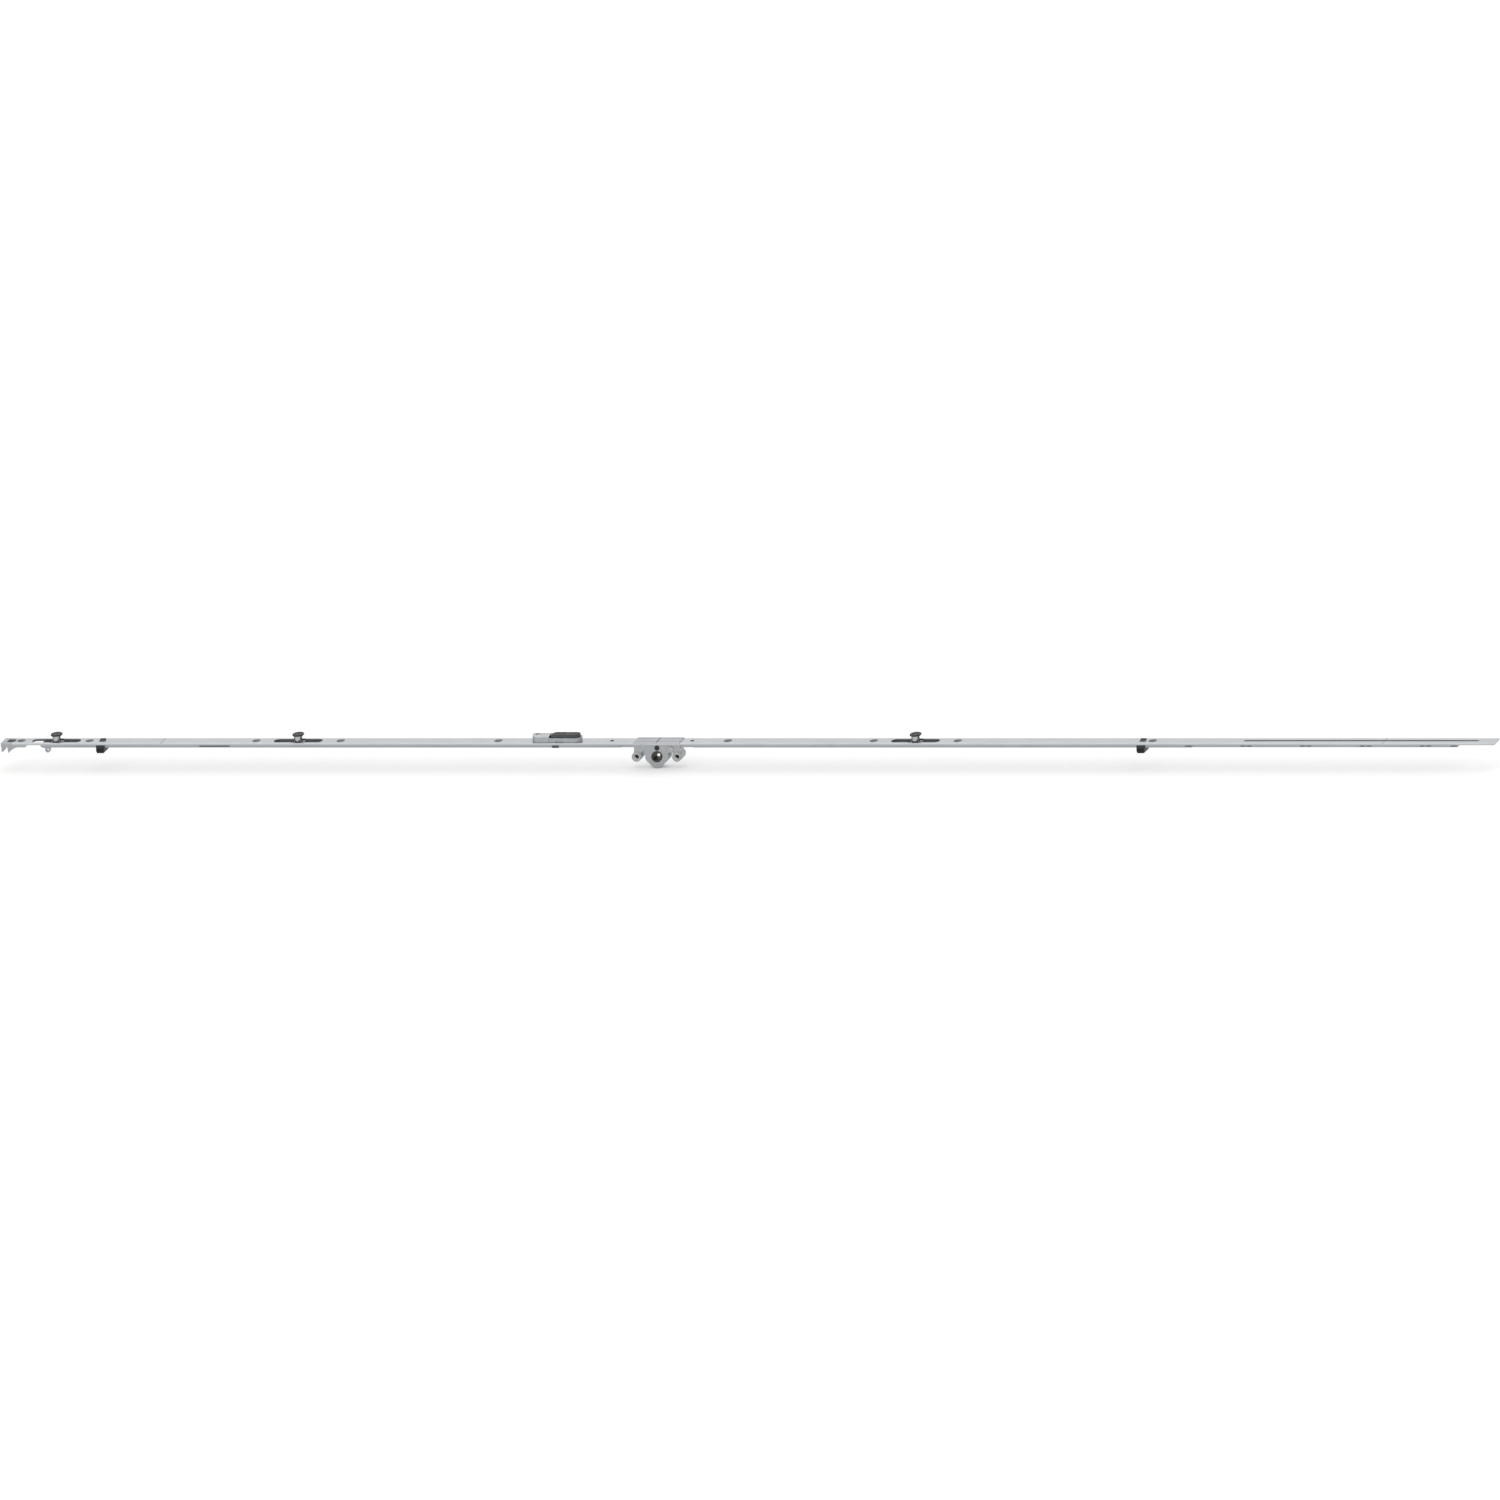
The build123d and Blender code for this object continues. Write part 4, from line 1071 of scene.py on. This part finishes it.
class StageBuilder(bpy.types.Operator):
    """Set up the camera, the floor, the lamps and the background"""

    bl_idname = "espagnolette.stage"
    bl_label = "Stage"

    def execute(self, context):
        scene = context.scene
        settings = scene.espagnolette_stage
        self.place_camera(scene, settings)
        self.lay_floor(settings)
        for name, energy, (turn_x, turn_z) in (
            ("key light", settings.key, KEY_TURN),
            ("top light", settings.top, TOP_TURN),
        ):
            lamp = bpy.data.lights.new(name, "SUN")
            lamp.energy = energy
            lamp.angle = settings.softness
            lamp_object = bpy.data.objects.new(name, lamp)
            lamp_object.rotation_euler = (radians(turn_x), 0, radians(turn_z))
            scene.collection.objects.link(lamp_object)
        self.light_world(scene, settings)
        scene.view_settings.view_transform = "Standard"
        return {"FINISHED"}

    def place_camera(self, scene, settings):
        """The drawing is a cabinet view, in which the front isn't foreshortened: a flat camera whose up
        direction is the object's own and isn't square to the line of sight."""
        lean = PHOTO_DEPTH / PHOTO_SCALE
        back = Vector((lean, -1, lean)).normalized()
        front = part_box("faceplate")[0].y
        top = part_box("faceplate")[1].z
        across = (PHOTO_MIDDLE - PHOTO_SPINDLE_X) / PHOTO_SCALE * MM
        down = (PHOTO_MIDDLE - PHOTO_TOP_EDGE) / PHOTO_SCALE * MM
        target = Vector((across, front, top - down))
        columns = (Vector((1, 0, 0)), Vector((0, 0, 1)), back)
        sheared = Matrix.Identity(4)
        for column, direction in enumerate(columns):
            for row in range(3):
                sheared[row][column] = direction[row]
        sheared.translation = target + back * settings.distance
        data = bpy.data.cameras.new("camera")
        data.type = "ORTHO"
        data.ortho_scale = 2 * PHOTO_MIDDLE / PHOTO_SCALE * MM
        data.clip_end = 100.0
        camera = bpy.data.objects.new("camera", data)
        rig = bpy.data.objects.new("camera rig", None)
        for item in (rig, camera):
            scene.collection.objects.link(item)
        camera.parent = rig
        camera.matrix_parent_inverse = sheared
        scene.camera = camera

    def seen_by(self, tree):
        """A light path, and whether the camera or a gloss sees the surface."""
        path = add_node(tree, "ShaderNodeLightPath")
        rays = {0: path.outputs["Is Camera Ray"], 1: path.outputs["Is Glossy Ray"]}
        return path, add_node(tree, "ShaderNodeMath", rays, operation="MAXIMUM")

    def lay_floor(self, settings):
        """A matt floor that the camera and the metals see as white, with the object's shadow on it."""
        bm = bmesh.new()
        bmesh.ops.create_grid(bm, x_segments=1, y_segments=1, size=settings.floor_size / 2)
        bmesh.ops.translate(bm, vec=(0, 0, cad_low.z - FLOOR_GAP * MM), verts=bm.verts)
        floor = to_object(bm, "floor")
        material = bpy.data.materials.new("matt_floor")
        material.use_nodes = True
        tree = material.node_tree
        tree.nodes.clear()
        paint = add_node(tree, "ShaderNodeBsdfDiffuse", {"Color": (*settings.floor, 1.0)})
        seen = self.seen_by(tree)[1]
        lift = add_node(tree, "ShaderNodeMath", {0: seen.outputs[0], 1: FLOOR_GLOW}, operation="MULTIPLY")
        glow = add_node(tree, "ShaderNodeEmission", {"Strength": lift.outputs[0]})
        both = add_node(tree, "ShaderNodeAddShader", {0: paint.outputs[0], 1: glow.outputs[0]})
        add_node(tree, "ShaderNodeOutputMaterial", {"Surface": both.outputs[0]})
        floor.data.materials.append(material)

    def light_world(self, scene, settings):
        """White where the camera, a gloss or a clear body sees it, and the fill light elsewhere."""
        world = bpy.data.worlds.new("studio")
        world.use_nodes = True
        tree = world.node_tree
        tree.nodes.clear()
        path, seen = self.seen_by(tree)
        clear = add_node(
            tree,
            "ShaderNodeMath",
            {0: seen.outputs[0], 1: path.outputs["Is Transmission Ray"]},
            operation="MAXIMUM",
        )
        strength = add_node(
            tree, "ShaderNodeMapRange", {"Value": clear.outputs[0], "To Min": settings.fill, "To Max": 1.0}
        )
        sky = add_node(
            tree,
            "ShaderNodeBackground",
            {"Color": (1.0, 1.0, 1.0, 1.0), "Strength": strength.outputs["Result"]},
        )
        add_node(tree, "ShaderNodeOutputWorld", {"Surface": sky.outputs[0]})
        scene.world = world


BUILDERS = (FaceplateBuilder, RodBuilder, GearboxBuilder, CamBuilder, FittingsBuilder, StageBuilder)


class EspagnolettePanel(bpy.types.Panel):
    """Lists the pieces of the espagnolette"""

    bl_idname = "VIEW3D_PT_espagnolette"
    bl_label = "Espagnolette"
    bl_space_type = "VIEW_3D"
    bl_region_type = "UI"
    bl_category = "Espagnolette"

    def draw(self, context):
        for builder in BUILDERS:
            self.layout.operator(builder.bl_idname)


GROUPS = {
    "espagnolette_strip": StripSizes,
    "espagnolette_rod": RodSizes,
    "espagnolette_turned": TurnedSizes,
    "espagnolette_blocker": BlockerSizes,
    "espagnolette_colours": FinishColours,
    "espagnolette_stage": StageSettings,
}


def register():
    for group in GROUPS.values():
        bpy.utils.register_class(group)
    for name, group in GROUPS.items():
        setattr(bpy.types.Scene, name, PointerProperty(type=group))
    for item in (*BUILDERS, EspagnolettePanel):
        bpy.utils.register_class(item)


def unregister():
    for item in (EspagnolettePanel, *reversed(BUILDERS)):
        bpy.utils.unregister_class(item)
    for name in GROUPS:
        delattr(bpy.types.Scene, name)
    for group in reversed(GROUPS.values()):
        bpy.utils.unregister_class(group)


def main():
    register()
    bpy.ops.espagnolette.faceplate()
    bpy.ops.espagnolette.rods()
    bpy.ops.espagnolette.gearbox()
    bpy.ops.espagnolette.cams()
    bpy.ops.espagnolette.fittings()
    bpy.ops.espagnolette.stage()


if __name__ == "__main__":
    main()
